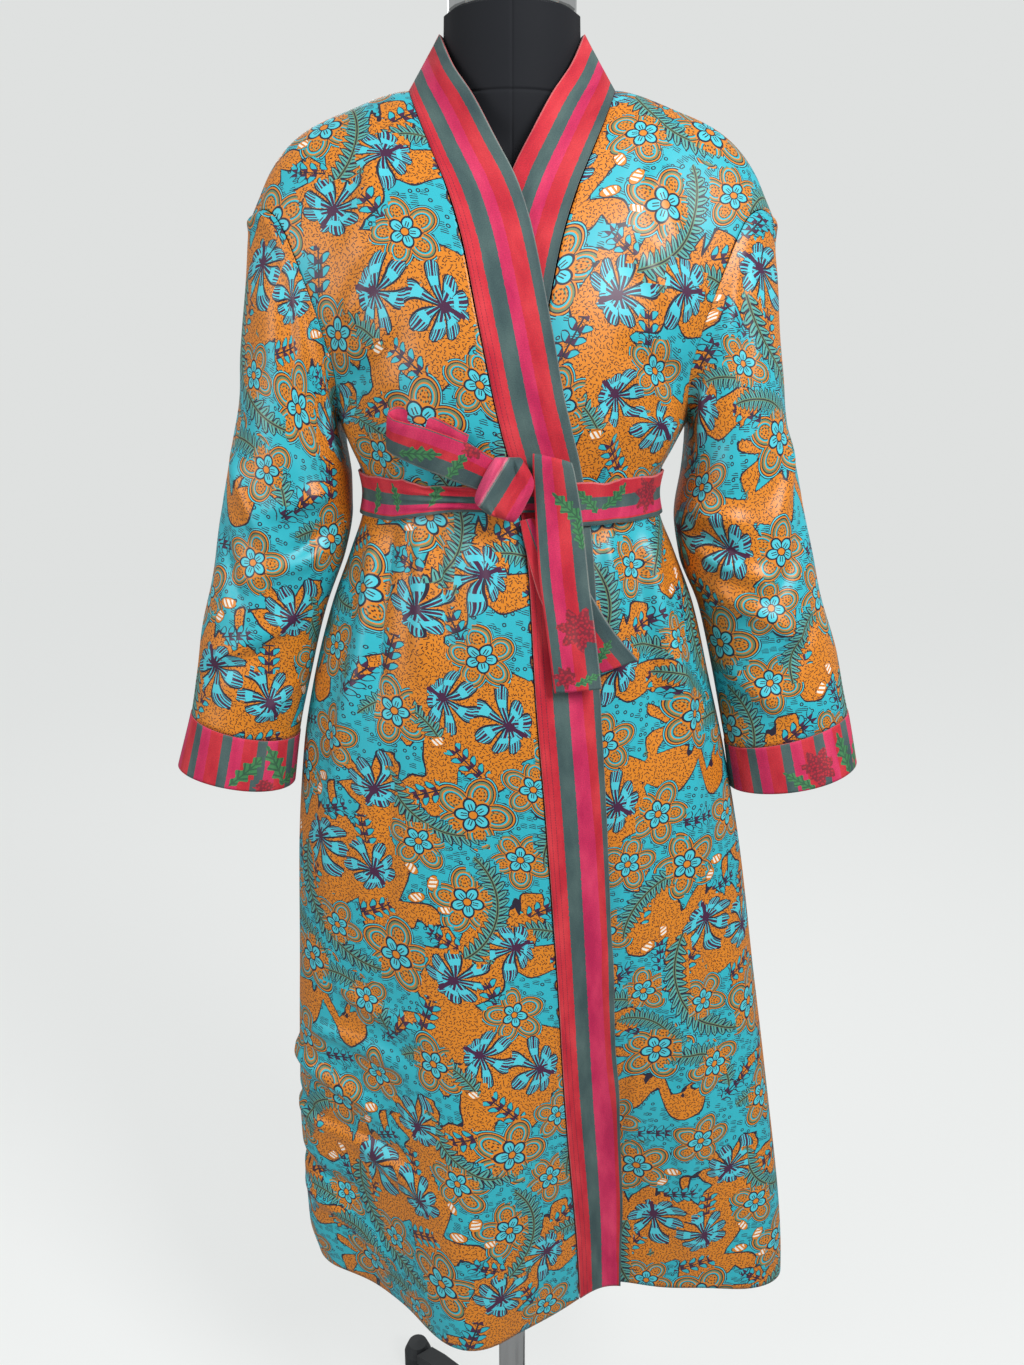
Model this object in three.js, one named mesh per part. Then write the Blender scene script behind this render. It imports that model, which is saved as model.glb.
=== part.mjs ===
// A mid-calf wrap robe with velvet bands, cuffs and tied belt, on a limbless dress form.
// Millimetres, +Z up, origin on the floor under the form's axis. The robe's front faces -Y,
// and +X is the wearer's left.
import * as THREE from 'three';
import { mergeVertices } from 'three/addons/utils/BufferGeometryUtils.js';

// Heights above the floor
const HEM = 425;
const UNDERARM = 1412;
const WAIST = 1345;
const NECK_POINT = 1700;

// Cloth
const SATIN = 1.5;
const VELVET = 2.4;
const VELVET_SINK = 0.3;
const LAP_LIFT = 5.6;
const ARMHOLE_CLEAR = 2.6;
const SEAM_GAP = 0.3;
const BELT_HEIGHT = 42;
const BELT_WALL = 2.0;

// Rings of the robe's body below the armholes: half-widths to each side, depths to front and back
const RINGS = [
  { z: 425, left: 236, right: 320, front: 97, back: 146 },
  { z: 474, left: 246, right: 317, front: 99, back: 146 },
  { z: 604, left: 248, right: 303, front: 103, back: 143 },
  { z: 706, left: 243, right: 289, front: 106, back: 140 },
  { z: 820, left: 237, right: 270, front: 109, back: 137 },
  { z: 962, left: 231, right: 246, front: 113, back: 134 },
  { z: 1078, left: 219, right: 222, front: 117, back: 130 },
  { z: 1153, left: 204, right: 203, front: 118, back: 125 },
  { z: 1230, left: 182, right: 183, front: 115, back: 117 },
  { z: 1288, left: 160, right: 160, front: 109, back: 107 },
  { z: 1325, left: 147, right: 145, front: 103, back: 98 },
  { z: 1345, left: 144, right: 142, front: 102, back: 97 },
  { z: 1365, left: 147, right: 145, front: 104, back: 98 },
  { z: 1388, left: 156, right: 156, front: 109, back: 100 },
  { z: 1412, left: 166, right: 168, front: 114, back: 102 },
];

// Chest and shoulders: drop is the square root of the way down from the shoulder line (0)
// to the underarm (1). side is where the curve would reach the shoulder plane,
// armhole is where the panel ends, root is the rise round the back of the neck.
const CHEST = [
  { drop: 0, side: 275, armhole: 242, front: 0, back: 0, root: 0 },
  { drop: 0.1, side: 273, armhole: 240, front: 14, back: 15, root: 38 },
  { drop: 0.2, side: 270, armhole: 236, front: 29, back: 30, root: 42 },
  { drop: 0.35, side: 264, armhole: 225, front: 50, back: 56, root: 30 },
  { drop: 0.5, side: 258, armhole: 209, front: 70, back: 78, root: 15 },
  { drop: 0.65, side: 242, armhole: 193, front: 92, back: 95, root: 5 },
  { drop: 0.75, side: 223, armhole: 181, front: 105, back: 101, root: 1 },
  { drop: 0.83, side: 204, armhole: 171, front: 113, back: 104, root: 0 },
  { drop: 0.92, side: 180, armhole: 163, front: 117, back: 104, root: 0 },
  { drop: 1, side: 167, armhole: 167, front: 114, back: 102, root: 0 },
];
const NECK_ROOT_REACH = 70;

// How the armhole's points are shared out round a sleeve's head, from the shoulder tip
const ARMHOLE_SHARE = [
  { angle: 0, drop: 0 },
  { angle: 14, drop: 0.25 },
  { angle: 32, drop: 0.48 },
  { angle: 54, drop: 0.64 },
  { angle: 76, drop: 0.755 },
  { angle: 97, drop: 0.835 },
  { angle: 128, drop: 0.93 },
  { angle: 180, drop: 1 },
];

// The shoulder seam seen from the front
const SHOULDER = [
  { x: 0, z: 1702 },
  { x: 91, z: 1700 },
  { x: 155, z: 1681 },
  { x: 179, z: 1671 },
  { x: 195, z: 1661 },
  { x: 209, z: 1648 },
  { x: 221, z: 1632 },
  { x: 232, z: 1611 },
  { x: 242, z: 1592 },
  { x: 275, z: 1540 },
];

// Skirt folds: angle round the robe from its -X side by the front, push outwards at the hem,
// half-width in degrees, and the height where the fold has faded out
const FOLDS = [
  { angle: 44, push: -14, spread: 13, top: 980 },
  { angle: 81, push: 56, spread: 15, top: 1050 },
  { angle: 112, push: -30, spread: 13, top: 1000 },
  { angle: 152, push: 30, spread: 14, top: 940 },
  { angle: 196, push: -16, spread: 12, top: 1000 },
  { angle: 221, push: 24, spread: 12, top: 1060 },
  { angle: 246, push: -18, spread: 11, top: 1020 },
  { angle: 270, push: 26, spread: 12, top: 1080 },
  { angle: 294, push: -18, spread: 11, top: 1000 },
  { angle: 320, push: 22, spread: 12, top: 1040 },
  { angle: 344, push: -14, spread: 10, top: 960 },
];

// The front band of the lapped-over side: its seam and its free edge, seen from the front.
// stand says how far the band leaves the chest to stand up beside the neck.
const BAND = [
  { seamX: 73, seamZ: 425, freeX: 128, freeZ: 425, stand: 0, freeY: 0 },
  { seamX: 68, seamZ: 505, freeX: 126, freeZ: 505, stand: 0, freeY: 0 },
  { seamX: 55, seamZ: 690, freeX: 114, freeZ: 690, stand: 0, freeY: 0 },
  { seamX: 44, seamZ: 874, freeX: 102, freeZ: 874, stand: 0, freeY: 0 },
  { seamX: 32, seamZ: 1040, freeX: 91, freeZ: 1040, stand: 0, freeY: 0 },
  { seamX: 21, seamZ: 1170, freeX: 81, freeZ: 1170, stand: 0, freeY: 0 },
  { seamX: 14, seamZ: 1285, freeX: 73, freeZ: 1290, stand: 0, freeY: 0 },
  { seamX: 2, seamZ: 1365, freeX: 60, freeZ: 1378, stand: 0, freeY: 0 },
  { seamX: -13, seamZ: 1425, freeX: 45, freeZ: 1438, stand: 0, freeY: 0 },
  { seamX: -29, seamZ: 1503, freeX: 30, freeZ: 1515, stand: 0, freeY: 0 },
  { seamX: -43, seamZ: 1570, freeX: 14, freeZ: 1587, stand: 0, freeY: -92 },
  { seamX: -56, seamZ: 1611, freeX: -2, freeZ: 1630, stand: 0.5, freeY: -79 },
  { seamX: -69, seamZ: 1643, freeX: -17, freeZ: 1658, stand: 1, freeY: -72 },
  { seamX: -80, seamZ: 1669, freeX: -33, freeZ: 1687, stand: 1, freeY: -62 },
  { seamX: -88, seamZ: 1690, freeX: -51, freeZ: 1715, stand: 1, freeY: -41 },
  { seamX: -91, seamZ: 1700, freeX: -63, freeZ: 1745, stand: 1, freeY: -4 },
];

// The neck piece of the band, from the shoulder to the centre back
const NECK_BAND = [
  { seamX: -91, seamZ: 1700, freeX: -63, freeY: -4, freeZ: 1745 },
  { seamX: -76, seamZ: 1696, freeX: -60, freeY: 30, freeZ: 1749 },
  { seamX: -46, seamZ: 1690, freeX: -40, freeY: 58, freeZ: 1752 },
  { seamX: 0, seamZ: 1687, freeX: 0, freeY: 68, freeZ: 1753 },
];

// Sleeve of the -X side: the outer and inner edge seen from the front, depths from midY,
// and how far each ring has turned from the armhole's line into a plain oval
const SLEEVE_RIGHT = [
  { along: 0, oval: 0, outX: -242, outZ: 1592, inX: -167, inZ: 1412, front: 60, back: 56, midY: 0 },
  { along: 1, oval: 0.3, outX: -246, outZ: 1562, inX: -169, inZ: 1398, front: 62, back: 58, midY: 0 },
  { along: 2, oval: 0.65, outX: -251, outZ: 1520, inX: -165, inZ: 1380, front: 63, back: 60, midY: 0 },
  { along: 3, oval: 1, outX: -258, outZ: 1465, inX: -160, inZ: 1358, front: 62, back: 60, midY: 0 },
  { along: 4, oval: 1, outX: -268, outZ: 1405, inX: -160, inZ: 1328, front: 61, back: 59, midY: -1 },
  { along: 5, oval: 1, outX: -284, outZ: 1335, inX: -169, inZ: 1284, front: 59, back: 58, midY: -3 },
  { along: 6, oval: 1, outX: -301, outZ: 1260, inX: -190, inZ: 1228, front: 57, back: 56, midY: -6 },
  { along: 7, oval: 1, outX: -317, outZ: 1188, inX: -208, inZ: 1163, front: 54, back: 53, midY: -9 },
  { along: 8, oval: 1, outX: -331, outZ: 1120, inX: -224, inZ: 1094, front: 50, back: 49, midY: -12 },
  { along: 9, oval: 1, outX: -345, outZ: 1062, inX: -233, inZ: 1042, front: 49, back: 48, midY: -14 },
];
const SLEEVE_LEFT = [
  { along: 0, oval: 0, outX: 242, outZ: 1592, inX: 167, inZ: 1412, front: 60, back: 56, midY: 0 },
  { along: 1, oval: 0.3, outX: 246, outZ: 1562, inX: 175, inZ: 1398, front: 62, back: 58, midY: 0 },
  { along: 2, oval: 0.65, outX: 250, outZ: 1520, inX: 173, inZ: 1380, front: 64, back: 60, midY: 0 },
  { along: 3, oval: 1, outX: 256, outZ: 1465, inX: 168, inZ: 1358, front: 64, back: 60, midY: 0 },
  { along: 4, oval: 1, outX: 268, outZ: 1405, inX: 163, inZ: 1322, front: 62, back: 59, midY: -1 },
  { along: 5, oval: 1, outX: 285, outZ: 1335, inX: 170, inZ: 1280, front: 60, back: 58, midY: -3 },
  { along: 6, oval: 1, outX: 306, outZ: 1260, inX: 191, inZ: 1228, front: 58, back: 56, midY: -6 },
  { along: 7, oval: 1, outX: 328, outZ: 1188, inX: 208, inZ: 1163, front: 54, back: 53, midY: -9 },
  { along: 8, oval: 1, outX: 347, outZ: 1120, inX: 225, inZ: 1084, front: 48, back: 48, midY: -12 },
  { along: 9, oval: 1, outX: 359, outZ: 1064, inX: 236, inZ: 1036, front: 47, back: 47, midY: -14 },
];
const CUFF_SEAM = 8;
const CUFF_FLARE = 1.2;

// Belt ends: the middle line seen from the front, half its width, the slant of its cross line,
// how far it stands off the body, and how much nearer its right edge lies
const TAIL_FRONT = [
  { along: 0, x: 36, z: 1385, half: 17.5, slant: -4, off: 22, turn: 0 },
  { along: 1, x: 38, z: 1367, half: 19.5, slant: -3, off: 26, turn: 0 },
  { along: 2, x: 42, z: 1332, half: 21, slant: 0, off: 24, turn: 1 },
  { along: 3, x: 47, z: 1280, half: 22, slant: 2, off: 22, turn: 1 },
  { along: 4, x: 54, z: 1230, half: 22, slant: 2, off: 21, turn: 0 },
  { along: 5, x: 61, z: 1177, half: 22, slant: 2, off: 21, turn: 0 },
];
const TAIL_REAR = [
  { along: 0, x: 16, z: 1334, half: 9, slant: 2, off: 15, turn: 0 },
  { along: 1, x: 27, z: 1310, half: 14, slant: 6, off: 15, turn: 0 },
  { along: 2, x: 46, z: 1268, half: 20, slant: 8, off: 15, turn: 0 },
  { along: 3, x: 69, z: 1226, half: 22, slant: 9, off: 15.5, turn: 0 },
  { along: 4, x: 92, z: 1194, half: 25, slant: 9, off: 16, turn: 0 },
];

// The bow's loop: out to the left in front, round the end, and back behind
const BOW = [
  { along: 0, x: -31, z: 1376, half: 14, lean: 0.3, off: 20 },
  { along: 1, x: -50, z: 1382, half: 19, lean: 0.3, off: 21 },
  { along: 2, x: -82, z: 1394, half: 20, lean: 0.2, off: 20 },
  { along: 3, x: -108, z: 1404, half: 18, lean: 0.1, off: 18 },
  { along: 4, x: -112, z: 1408, half: 19, lean: 0.1, off: 14.5 },
  { along: 5, x: -104, z: 1410, half: 20, lean: 0.1, off: 7.8 },
  { along: 6, x: -75, z: 1402, half: 20, lean: 0.2, off: 8.0 },
  { along: 7, x: -42, z: 1390, half: 16, lean: 0.3, off: 12.5 },
];

// The knot: a soft roll of belt lying from low left to high right
const KNOT = { x: -10, z: 1357, off: 23.3, long: 31, wide: 21, deep: 11, tilt: 52 };

// The dress form's torso: half-width and depths at each height, and the neck's own radius
const FORM = [
  { z: 950, half: 150, front: 82, back: 88, neck: 1 },
  { z: 1020, half: 166, front: 90, back: 102, neck: 1 },
  { z: 1100, half: 173, front: 95, back: 108, neck: 1 },
  { z: 1170, half: 168, front: 95, back: 104, neck: 1 },
  { z: 1230, half: 156, front: 92, back: 96, neck: 1 },
  { z: 1290, half: 138, front: 88, back: 86, neck: 1 },
  { z: 1345, half: 127, front: 84, back: 80, neck: 1 },
  { z: 1400, half: 138, front: 96, back: 86, neck: 1 },
  { z: 1435, half: 148, front: 102, back: 88, neck: 1 },
  { z: 1480, half: 158, front: 103, back: 90, neck: 1 },
  { z: 1540, half: 170, front: 92, back: 88, neck: 1 },
  { z: 1600, half: 177, front: 74, back: 76, neck: 1 },
  { z: 1640, half: 176, front: 56, back: 60, neck: 40 },
  { z: 1664, half: 166, front: 42, back: 46, neck: 54 },
  { z: 1676, half: 152, front: 34, back: 38, neck: 57 },
  { z: 1688, half: 133, front: 22, back: 24, neck: 58 },
  { z: 1699, half: 95, front: 14, back: 15, neck: 58 },
  { z: 1706, half: 60, front: 14, back: 15, neck: 58 },
  { z: 1730, half: 50, front: 14, back: 15, neck: 58 },
  { z: 1760, half: 50, front: 14, back: 15, neck: 57 },
];
const CAP_TOP = 1800;
const CAP_RADIUS = 57;
const POLE_RADIUS = 16.5;
const HUB = { bottom: 62, top: 112, radius: 34 };
const FOOT = { reach: 250, radius: 20, height: 44 };
const LEG = { width: 26, inner: 30, innerTop: 104, innerBottom: 72, outerTop: 62, outerBottom: 46 };
const LEG_ANGLES = [34.7, 124.7, 214.7, 304.7];

const COLOURS = {
  print: '#c08a4c',
  velvet: '#c52a52',
  form: '#25282b',
  chrome: '#c8cbce',
  base: '#3a3d40',
};

const radians = THREE.MathUtils.degToRad;
const mix = THREE.MathUtils.lerp;
const smooth = (value) => THREE.MathUtils.smoothstep(value, 0, 1);

// Smooth reading of one column of a table, without overshoot
function read(table, key, at, column) {
  const last = table.length - 1;
  const clamped = Math.min(Math.max(at, table[0][key]), table[last][key]);
  let i = 0;
  while (i < last - 1 && clamped > table[i + 1][key]) i += 1;
  const step = (k) => table[k + 1][key] - table[k][key];
  const rise = (k) => (table[k + 1][column] - table[k][column]) / step(k);
  const slope = (k) => {
    if (k === 0) return rise(0);
    if (k === last) return rise(last - 1);
    const before = rise(k - 1);
    const after = rise(k);
    return before * after <= 0 ? 0 : (2 * before * after) / (before + after);
  };
  const t = (clamped - table[i][key]) / step(i);
  const gap = step(i);
  const t2 = t * t;
  const t3 = t2 * t;
  return (2 * t3 - 3 * t2 + 1) * table[i][column] + (t3 - 2 * t2 + t) * gap * slope(i)
    + (3 * t2 - 2 * t3) * table[i + 1][column] + (t3 - t2) * gap * slope(i + 1);
}

const spread = (count, from = 0, to = 1) => (
  Array.from({ length: count + 1 }, (_, i) => mix(from, to, i / count)));

// The robe's body. level runs 0 to 1 from the hem to the underarm and on to 2 at the shoulder.
function foldPush(angle, z) {
  let push = 0;
  for (const fold of FOLDS) {
    const away = ((angle - fold.angle + 540) % 360) - 180;
    const depth = smooth((fold.top - z) / (fold.top - HEM));
    push += fold.push * depth * Math.exp(-((away / fold.spread) ** 2));
  }
  return push;
}

function bodyPoint(angle, level) {
  const across = Math.cos(radians(angle));
  const deep = Math.sin(radians(angle));
  if (level <= 1) {
    const z = mix(HEM, UNDERARM, level);
    const half = read(RINGS, 'z', z, across > 0 ? 'left' : 'right');
    const depth = read(RINGS, 'z', z, deep > 0 ? 'front' : 'back');
    const push = foldPush(angle, z);
    return new THREE.Vector3(-(half + push) * across, -(depth + push) * deep, z);
  }
  const drop = 2 - level;
  const x = -read(CHEST, 'drop', drop, 'side') * across;
  let depth = read(CHEST, 'drop', drop, deep > 0 ? 'front' : 'back');
  if (deep < 0) {
    depth += read(CHEST, 'drop', drop, 'root') * Math.exp(-((x / NECK_ROOT_REACH) ** 2));
  }
  const top = read(SHOULDER, 'x', Math.abs(x), 'z');
  return new THREE.Vector3(x, -depth * deep, mix(top, UNDERARM, drop ** 2));
}

// The angle on the front, or on the back, where the body has this x
function angleAt(x, level, behind = false) {
  let low = behind ? 360 : 0;
  let high = 180;
  for (let i = 0; i < 30; i += 1) {
    const middle = (low + high) / 2;
    if (bodyPoint(middle, level).x < x) low = middle;
    else high = middle;
  }
  return (low + high) / 2;
}

function levelAt(x, z) {
  if (z <= UNDERARM) return (z - HEM) / (UNDERARM - HEM);
  const top = read(SHOULDER, 'x', Math.abs(x), 'z');
  return 2 - Math.sqrt(Math.max(0, 1 - (z - UNDERARM) / (top - UNDERARM)));
}

function onBody(x, z, behind = false) {
  const level = levelAt(x, z);
  return bodyPoint(angleAt(x, level, behind), level);
}

// How much of the lapped-over front lies over other cloth at this place
function lap(x, z) {
  const half = z <= UNDERARM ? read(RINGS, 'z', z, 'left') : 167;
  const overUnder = 1 - smooth((-x / half - 0.62) / 0.25);
  return overUnder * smooth((1672 - z) / 60);
}

// A closed wall on a surface, between an inner and an outer offset along its normal
function wall(surface, us, vs, inner, outer, isTube = false) {
  const delta = 1e-4;
  const sides = [outer, inner].map((offset) => vs.map((v) => us.map((u) => {
    const point = surface(u, v);
    const alongU = surface(u + delta, v).sub(surface(u - delta, v));
    const alongV = surface(u, v + delta).sub(surface(u, v - delta));
    const normal = alongU.cross(alongV).normalize();
    const distance = typeof offset === 'function' ? offset(point, u, v) : offset;
    return point.clone().addScaledVector(normal, distance);
  })));
  const width = isTube ? us.length - 1 : us.length;
  const height = vs.length;
  const positions = [];
  for (const side of sides) {
    for (const row of side) {
      for (let i = 0; i < width; i += 1) positions.push(row[i].x, row[i].y, row[i].z);
    }
  }
  const at = (side, i, j) => side * width * height + j * width + (i % width);
  const index = [];
  const quad = (a, b, c, d) => index.push(a, b, c, a, c, d);
  for (let j = 0; j < height - 1; j += 1) {
    for (let i = 0; i < us.length - 1; i += 1) {
      quad(at(0, i, j), at(0, i + 1, j), at(0, i + 1, j + 1), at(0, i, j + 1));
      quad(at(1, i, j), at(1, i, j + 1), at(1, i + 1, j + 1), at(1, i + 1, j));
    }
  }
  const end = height - 1;
  for (let i = 0; i < us.length - 1; i += 1) {
    quad(at(0, i + 1, 0), at(0, i, 0), at(1, i, 0), at(1, i + 1, 0));
    quad(at(0, i, end), at(0, i + 1, end), at(1, i + 1, end), at(1, i, end));
  }
  if (!isTube) {
    const far = us.length - 1;
    for (let j = 0; j < end; j += 1) {
      quad(at(0, 0, j), at(0, 0, j + 1), at(1, 0, j + 1), at(1, 0, j));
      quad(at(0, far, j + 1), at(0, far, j), at(1, far, j), at(1, far, j + 1));
    }
  }
  const geometry = new THREE.BufferGeometry();
  geometry.setAttribute('position', new THREE.Float32BufferAttribute(positions, 3));
  geometry.setIndex(index);
  return geometry;
}

// A closed solid through rings of points, capped by a fan at each end
function loft(rings) {
  const size = rings[0].length;
  const positions = rings.flat().flatMap((p) => [p.x, p.y, p.z]);
  const index = [];
  rings.slice(1).forEach((_, j) => {
    for (let i = 0; i < size; i += 1) {
      const next = (i + 1) % size;
      const low = j * size;
      const high = low + size;
      index.push(low + i, low + next, high + next, low + i, high + next, high + i);
    }
  });
  const last = (rings.length - 1) * size;
  for (let i = 1; i < size - 1; i += 1) {
    index.push(0, i + 1, i);
    index.push(last, last + i, last + i + 1);
  }
  const geometry = new THREE.BufferGeometry();
  geometry.setAttribute('position', new THREE.Float32BufferAttribute(positions, 3));
  geometry.setIndex(index);
  return geometry;
}

const robe = new THREE.Group();
const stand = new THREE.Group();

function add(group, name, geometry, colour, roughness, metalness = 0) {
  const material = new THREE.MeshStandardMaterial({ color: COLOURS[colour], roughness, metalness });
  const mesh = new THREE.Mesh(geometry, material);
  mesh.name = name;
  group.add(mesh);
  return mesh;
}

// Where the body's rows meet the seam of a front band; side is -1 for the lapped-over front
function bandSeamX(z, side) {
  const reversed = BAND.map((row) => ({ z: row.seamZ, x: row.seamX }));
  return -side * read(reversed, 'z', z, 'x');
}

function seamAngle(level, side) {
  let x = 0;
  for (let i = 0; i < 8; i += 1) {
    const z = level <= 1 ? mix(HEM, UNDERARM, level)
      : mix(read(SHOULDER, 'x', Math.abs(x), 'z'), UNDERARM, (2 - level) ** 2);
    x = bandSeamX(z, side);
  }
  return angleAt(x, level);
}

function armholeAngle(level, side, behind) {
  if (level <= 1) return side < 0 ? (behind ? 360 : 0) : 180;
  const x = side * read(CHEST, 'drop', 2 - level, 'armhole');
  return angleAt(x, level, behind);
}

const gapAngle = (angle, from, gap) => angle + Math.sign(from - angle) * gap;
const levelOf = (z) => (z - HEM) / (UNDERARM - HEM);
const PANEL_HEIGHTS = [
  HEM, 470, 530, 600, 680, 760, 840, 920, 1000, 1070, 1130, 1185, 1235, 1280, 1308,
  WAIST - BELT_HEIGHT / 2, WAIST, WAIST + BELT_HEIGHT / 2, 1388, UNDERARM,
];
const PANEL_LEVELS = [...PANEL_HEIGHTS.map(levelOf), ...spread(9, 1, 2).slice(1)];

function frontPanel(side) {
  const edge = 0.2;
  const surface = (u, level) => {
    const outer = gapAngle(armholeAngle(level, side, false), 90, edge);
    const inner = gapAngle(seamAngle(level, side), armholeAngle(level, side, false), edge);
    return bodyPoint(side < 0 ? mix(outer, inner, u) : mix(inner, outer, u), level);
  };
  const inner = side < 0 ? (p) => LAP_LIFT * lap(p.x, p.z) : 0;
  const outer = side < 0 ? (p) => LAP_LIFT * lap(p.x, p.z) + SATIN : SATIN;
  const levels = PANEL_LEVELS.map((level) => Math.min(level, 1.998));
  return wall(surface, spread(14), levels, inner, outer);
}
// The back reaches the shoulder seams at each side and the neckline between them
function necklineDrop(x) {
  const away = Math.abs(x);
  if (away >= -NECK_BAND[0].seamX) return 0.002;
  const rows = NECK_BAND.map((row) => ({ x: -row.seamX, z: row.seamZ })).reverse();
  const z = read(rows, 'x', away, 'z');
  return Math.max(0.002, 2 - levelAt(x, z));
}

function backAngle(u, level) {
  const edge = 0.2;
  const left = gapAngle(armholeAngle(level, 1, true), 270, edge);
  const right = gapAngle(armholeAngle(level, -1, true), 270, edge);
  return mix(left, right, u);
}

function backSurface(u, v) {
  if (v <= 1) return bodyPoint(backAngle(u, v), v);
  let top = 2;
  for (let i = 0; i < 6; i += 1) {
    top = 2 - necklineDrop(bodyPoint(backAngle(u, top), top).x);
  }
  const level = 1 + (v - 1) * (top - 1);
  return bodyPoint(backAngle(u, level), level);
}

// One half of the back, from its side seam to the centre back seam
function backPanel(side) {
  const centre = 0.4996;
  const half = [...spread(8, 0, 0.28), ...spread(5, 0.28, centre).slice(1)];
  const us = side > 0 ? half : half.map((u) => 1 - u).reverse();
  return wall(backSurface, us, PANEL_LEVELS, 0, SATIN);
}

// Sleeves. angle is 0 at the -X edge, 90 at the front and 180 at the +X edge.
function sleevePoint(table, angle, along) {
  const side = Math.sign(table[0].outX);
  const share = (1 + Math.cos(radians(angle))) / 2;
  const outShare = side < 0 ? share : 1 - share;
  const deep = Math.sin(radians(angle));
  const at = (column) => read(table, 'along', along, column);
  const oval = new THREE.Vector3(
    mix(at('inX'), at('outX'), outShare),
    at('midY') - at(deep > 0 ? 'front' : 'back') * deep,
    mix(at('inZ'), at('outZ'), outShare),
  );
  const whole = at('oval');
  if (whole >= 1) return oval;
  const turn = ((angle % 360) + 360) % 360;
  const half = turn <= 180 ? turn : 360 - turn;
  const drop = read(ARMHOLE_SHARE, 'angle', side < 0 ? half : 180 - half, 'drop');
  const behind = turn > 180;
  const level = 2 - drop;
  const armhole = bodyPoint(armholeAngle(Math.min(Math.max(level, 1.0001), 2), side, behind),
    Math.min(Math.max(level, 1.0001), 2));
  armhole.x += side * ARMHOLE_CLEAR;
  return armhole.lerp(oval, whole);
}

// The front or the back half of a sleeve, between its top fold line and its underarm seam
function sleeveHalf(table, behind) {
  const edge = 0.15;
  const start = behind ? 180 : 0;
  const surface = (u, v) => sleevePoint(table, mix(start + edge, start + 180 - edge, u), -v);
  const down = [...spread(6, 0.06, 2), ...spread(12, 2, CUFF_SEAM - 0.005).slice(1)];
  return wall(surface, spread(10), down.map((along) => -along).reverse(), 0, SATIN);
}

function cuff(table) {
  const surface = (u, v) => sleevePoint(table, u * 360, -v);
  const down = spread(3, CUFF_SEAM + 0.005, CUFF_SEAM + 1);
  const flare = (along) => CUFF_FLARE * (along - CUFF_SEAM);
  const inner = (point, u, v) => flare(-v) - VELVET_SINK;
  const outer = (point, u, v) => flare(-v) - VELVET_SINK + VELVET;
  return wall(surface, spread(20), down.map((along) => -along).reverse(), inner, outer, true);
}

// Front bands. along runs 0 to 1 from the hem to the shoulder, across from the seam to the free edge.
const BAND_ROWS = BAND.map((row, i) => ({ ...row, i: i / (BAND.length - 1) }));

function bandPoint(across, along, side) {
  const at = (column) => read(BAND_ROWS, 'i', along, column);
  const x = mix(at('seamX'), at('freeX'), across);
  const z = mix(at('seamZ'), at('freeZ'), across);
  const seam = onBody(at('seamX'), Math.min(at('seamZ'), NECK_POINT));
  const stand = smooth(at('stand'));
  const flat = onBody(x, Math.min(z, NECK_POINT)).y;
  const y = mix(flat, mix(seam.y, at('freeY'), across), stand);
  return new THREE.Vector3(-side * x, y, z);
}

function frontBand(side) {
  const edge = 0.01;
  const over = side < 0;
  const surface = (u, v) => (over ? bandPoint(u, v, side) : bandPoint(1 - u, v, side));
  const lift = (p) => (over ? LAP_LIFT * lap(p.x, p.z) : 0) - VELVET_SINK;
  const us = over ? spread(3, edge, 1) : spread(3, 0, 1 - edge);
  return wall(surface, us, spread(44, 0, 0.995), lift, (p) => lift(p) + VELVET);
}

// The neck piece of the band: u runs from the +X shoulder round the back to the -X one
const NECK_ROWS = NECK_BAND.map((row, i) => ({ ...row, turn: 1 - i / (NECK_BAND.length - 1) }))
  .reverse();

function neckBandPoint(u, v) {
  const turn = 2 * u - 1;
  const at = (column) => read(NECK_ROWS, 'turn', Math.abs(turn), column);
  const mirror = turn < 0 ? -1 : 1;
  const seam = onBody(at('seamX'), at('seamZ'), true);
  return new THREE.Vector3(
    mirror * mix(at('seamX'), at('freeX'), v),
    mix(seam.y, at('freeY'), v),
    mix(at('seamZ'), at('freeZ'), v),
  );
}

function neckBand() {
  return wall(neckBandPoint, spread(20, 0.008, 0.992), spread(3, 0.03, 1), -VELVET_SINK, VELVET - VELVET_SINK);
}

// How far the cloth under the belt stands out, from the lapped side to the plain one
function underBelt(x) {
  const most = LAP_LIFT + VELVET - VELVET_SINK;
  const covered = smooth((x + 135) / 45) * smooth((118 - x) / 30);
  return mix(SATIN, most, covered);
}

const BELT_CLEAR = 1.2;

function beltWrap() {
  const surface = (u, v) => bodyPoint(360 * u, v);
  const base = (p) => (p.y < 0 ? underBelt(p.x) : SATIN) + BELT_CLEAR;
  const rows = spread(2, levelOf(WAIST - BELT_HEIGHT / 2), levelOf(WAIST + BELT_HEIGHT / 2));
  return wall(surface, spread(56), rows, base, (p) => base(p) + BELT_WALL, true);
}

// Hanging ends and loop: a strip across its middle line, standing off the body
function stripPoint(table, across, along, widthAxis) {
  const at = (column) => read(table, 'along', along, column);
  const side = across * 2 - 1;
  if (widthAxis === 'x') {
    const x = at('x') + at('half') * side;
    const z = at('z') + at('slant') * side;
    const y = onBody(at('x'), at('z')).y - at('off') + at('turn') * side;
    return new THREE.Vector3(x, y, z);
  }
  const z = at('z') + at('half') * side;
  const x = at('x') + at('half') * at('lean') * side;
  return new THREE.Vector3(x, onBody(at('x'), z).y - at('off'), z);
}

function tail(table) {
  const far = table.length - 1;
  const surface = (u, v) => stripPoint(table, u, -v, 'x');
  return wall(surface, spread(3), spread(far * 2, -far, 0), 0, BELT_WALL);
}

function bow() {
  const far = BOW.length - 1;
  const surface = (u, v) => stripPoint(BOW, v, u, 'z');
  return wall(surface, spread(far * 3, 0, far), spread(2), 0, BELT_WALL);
}

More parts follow.
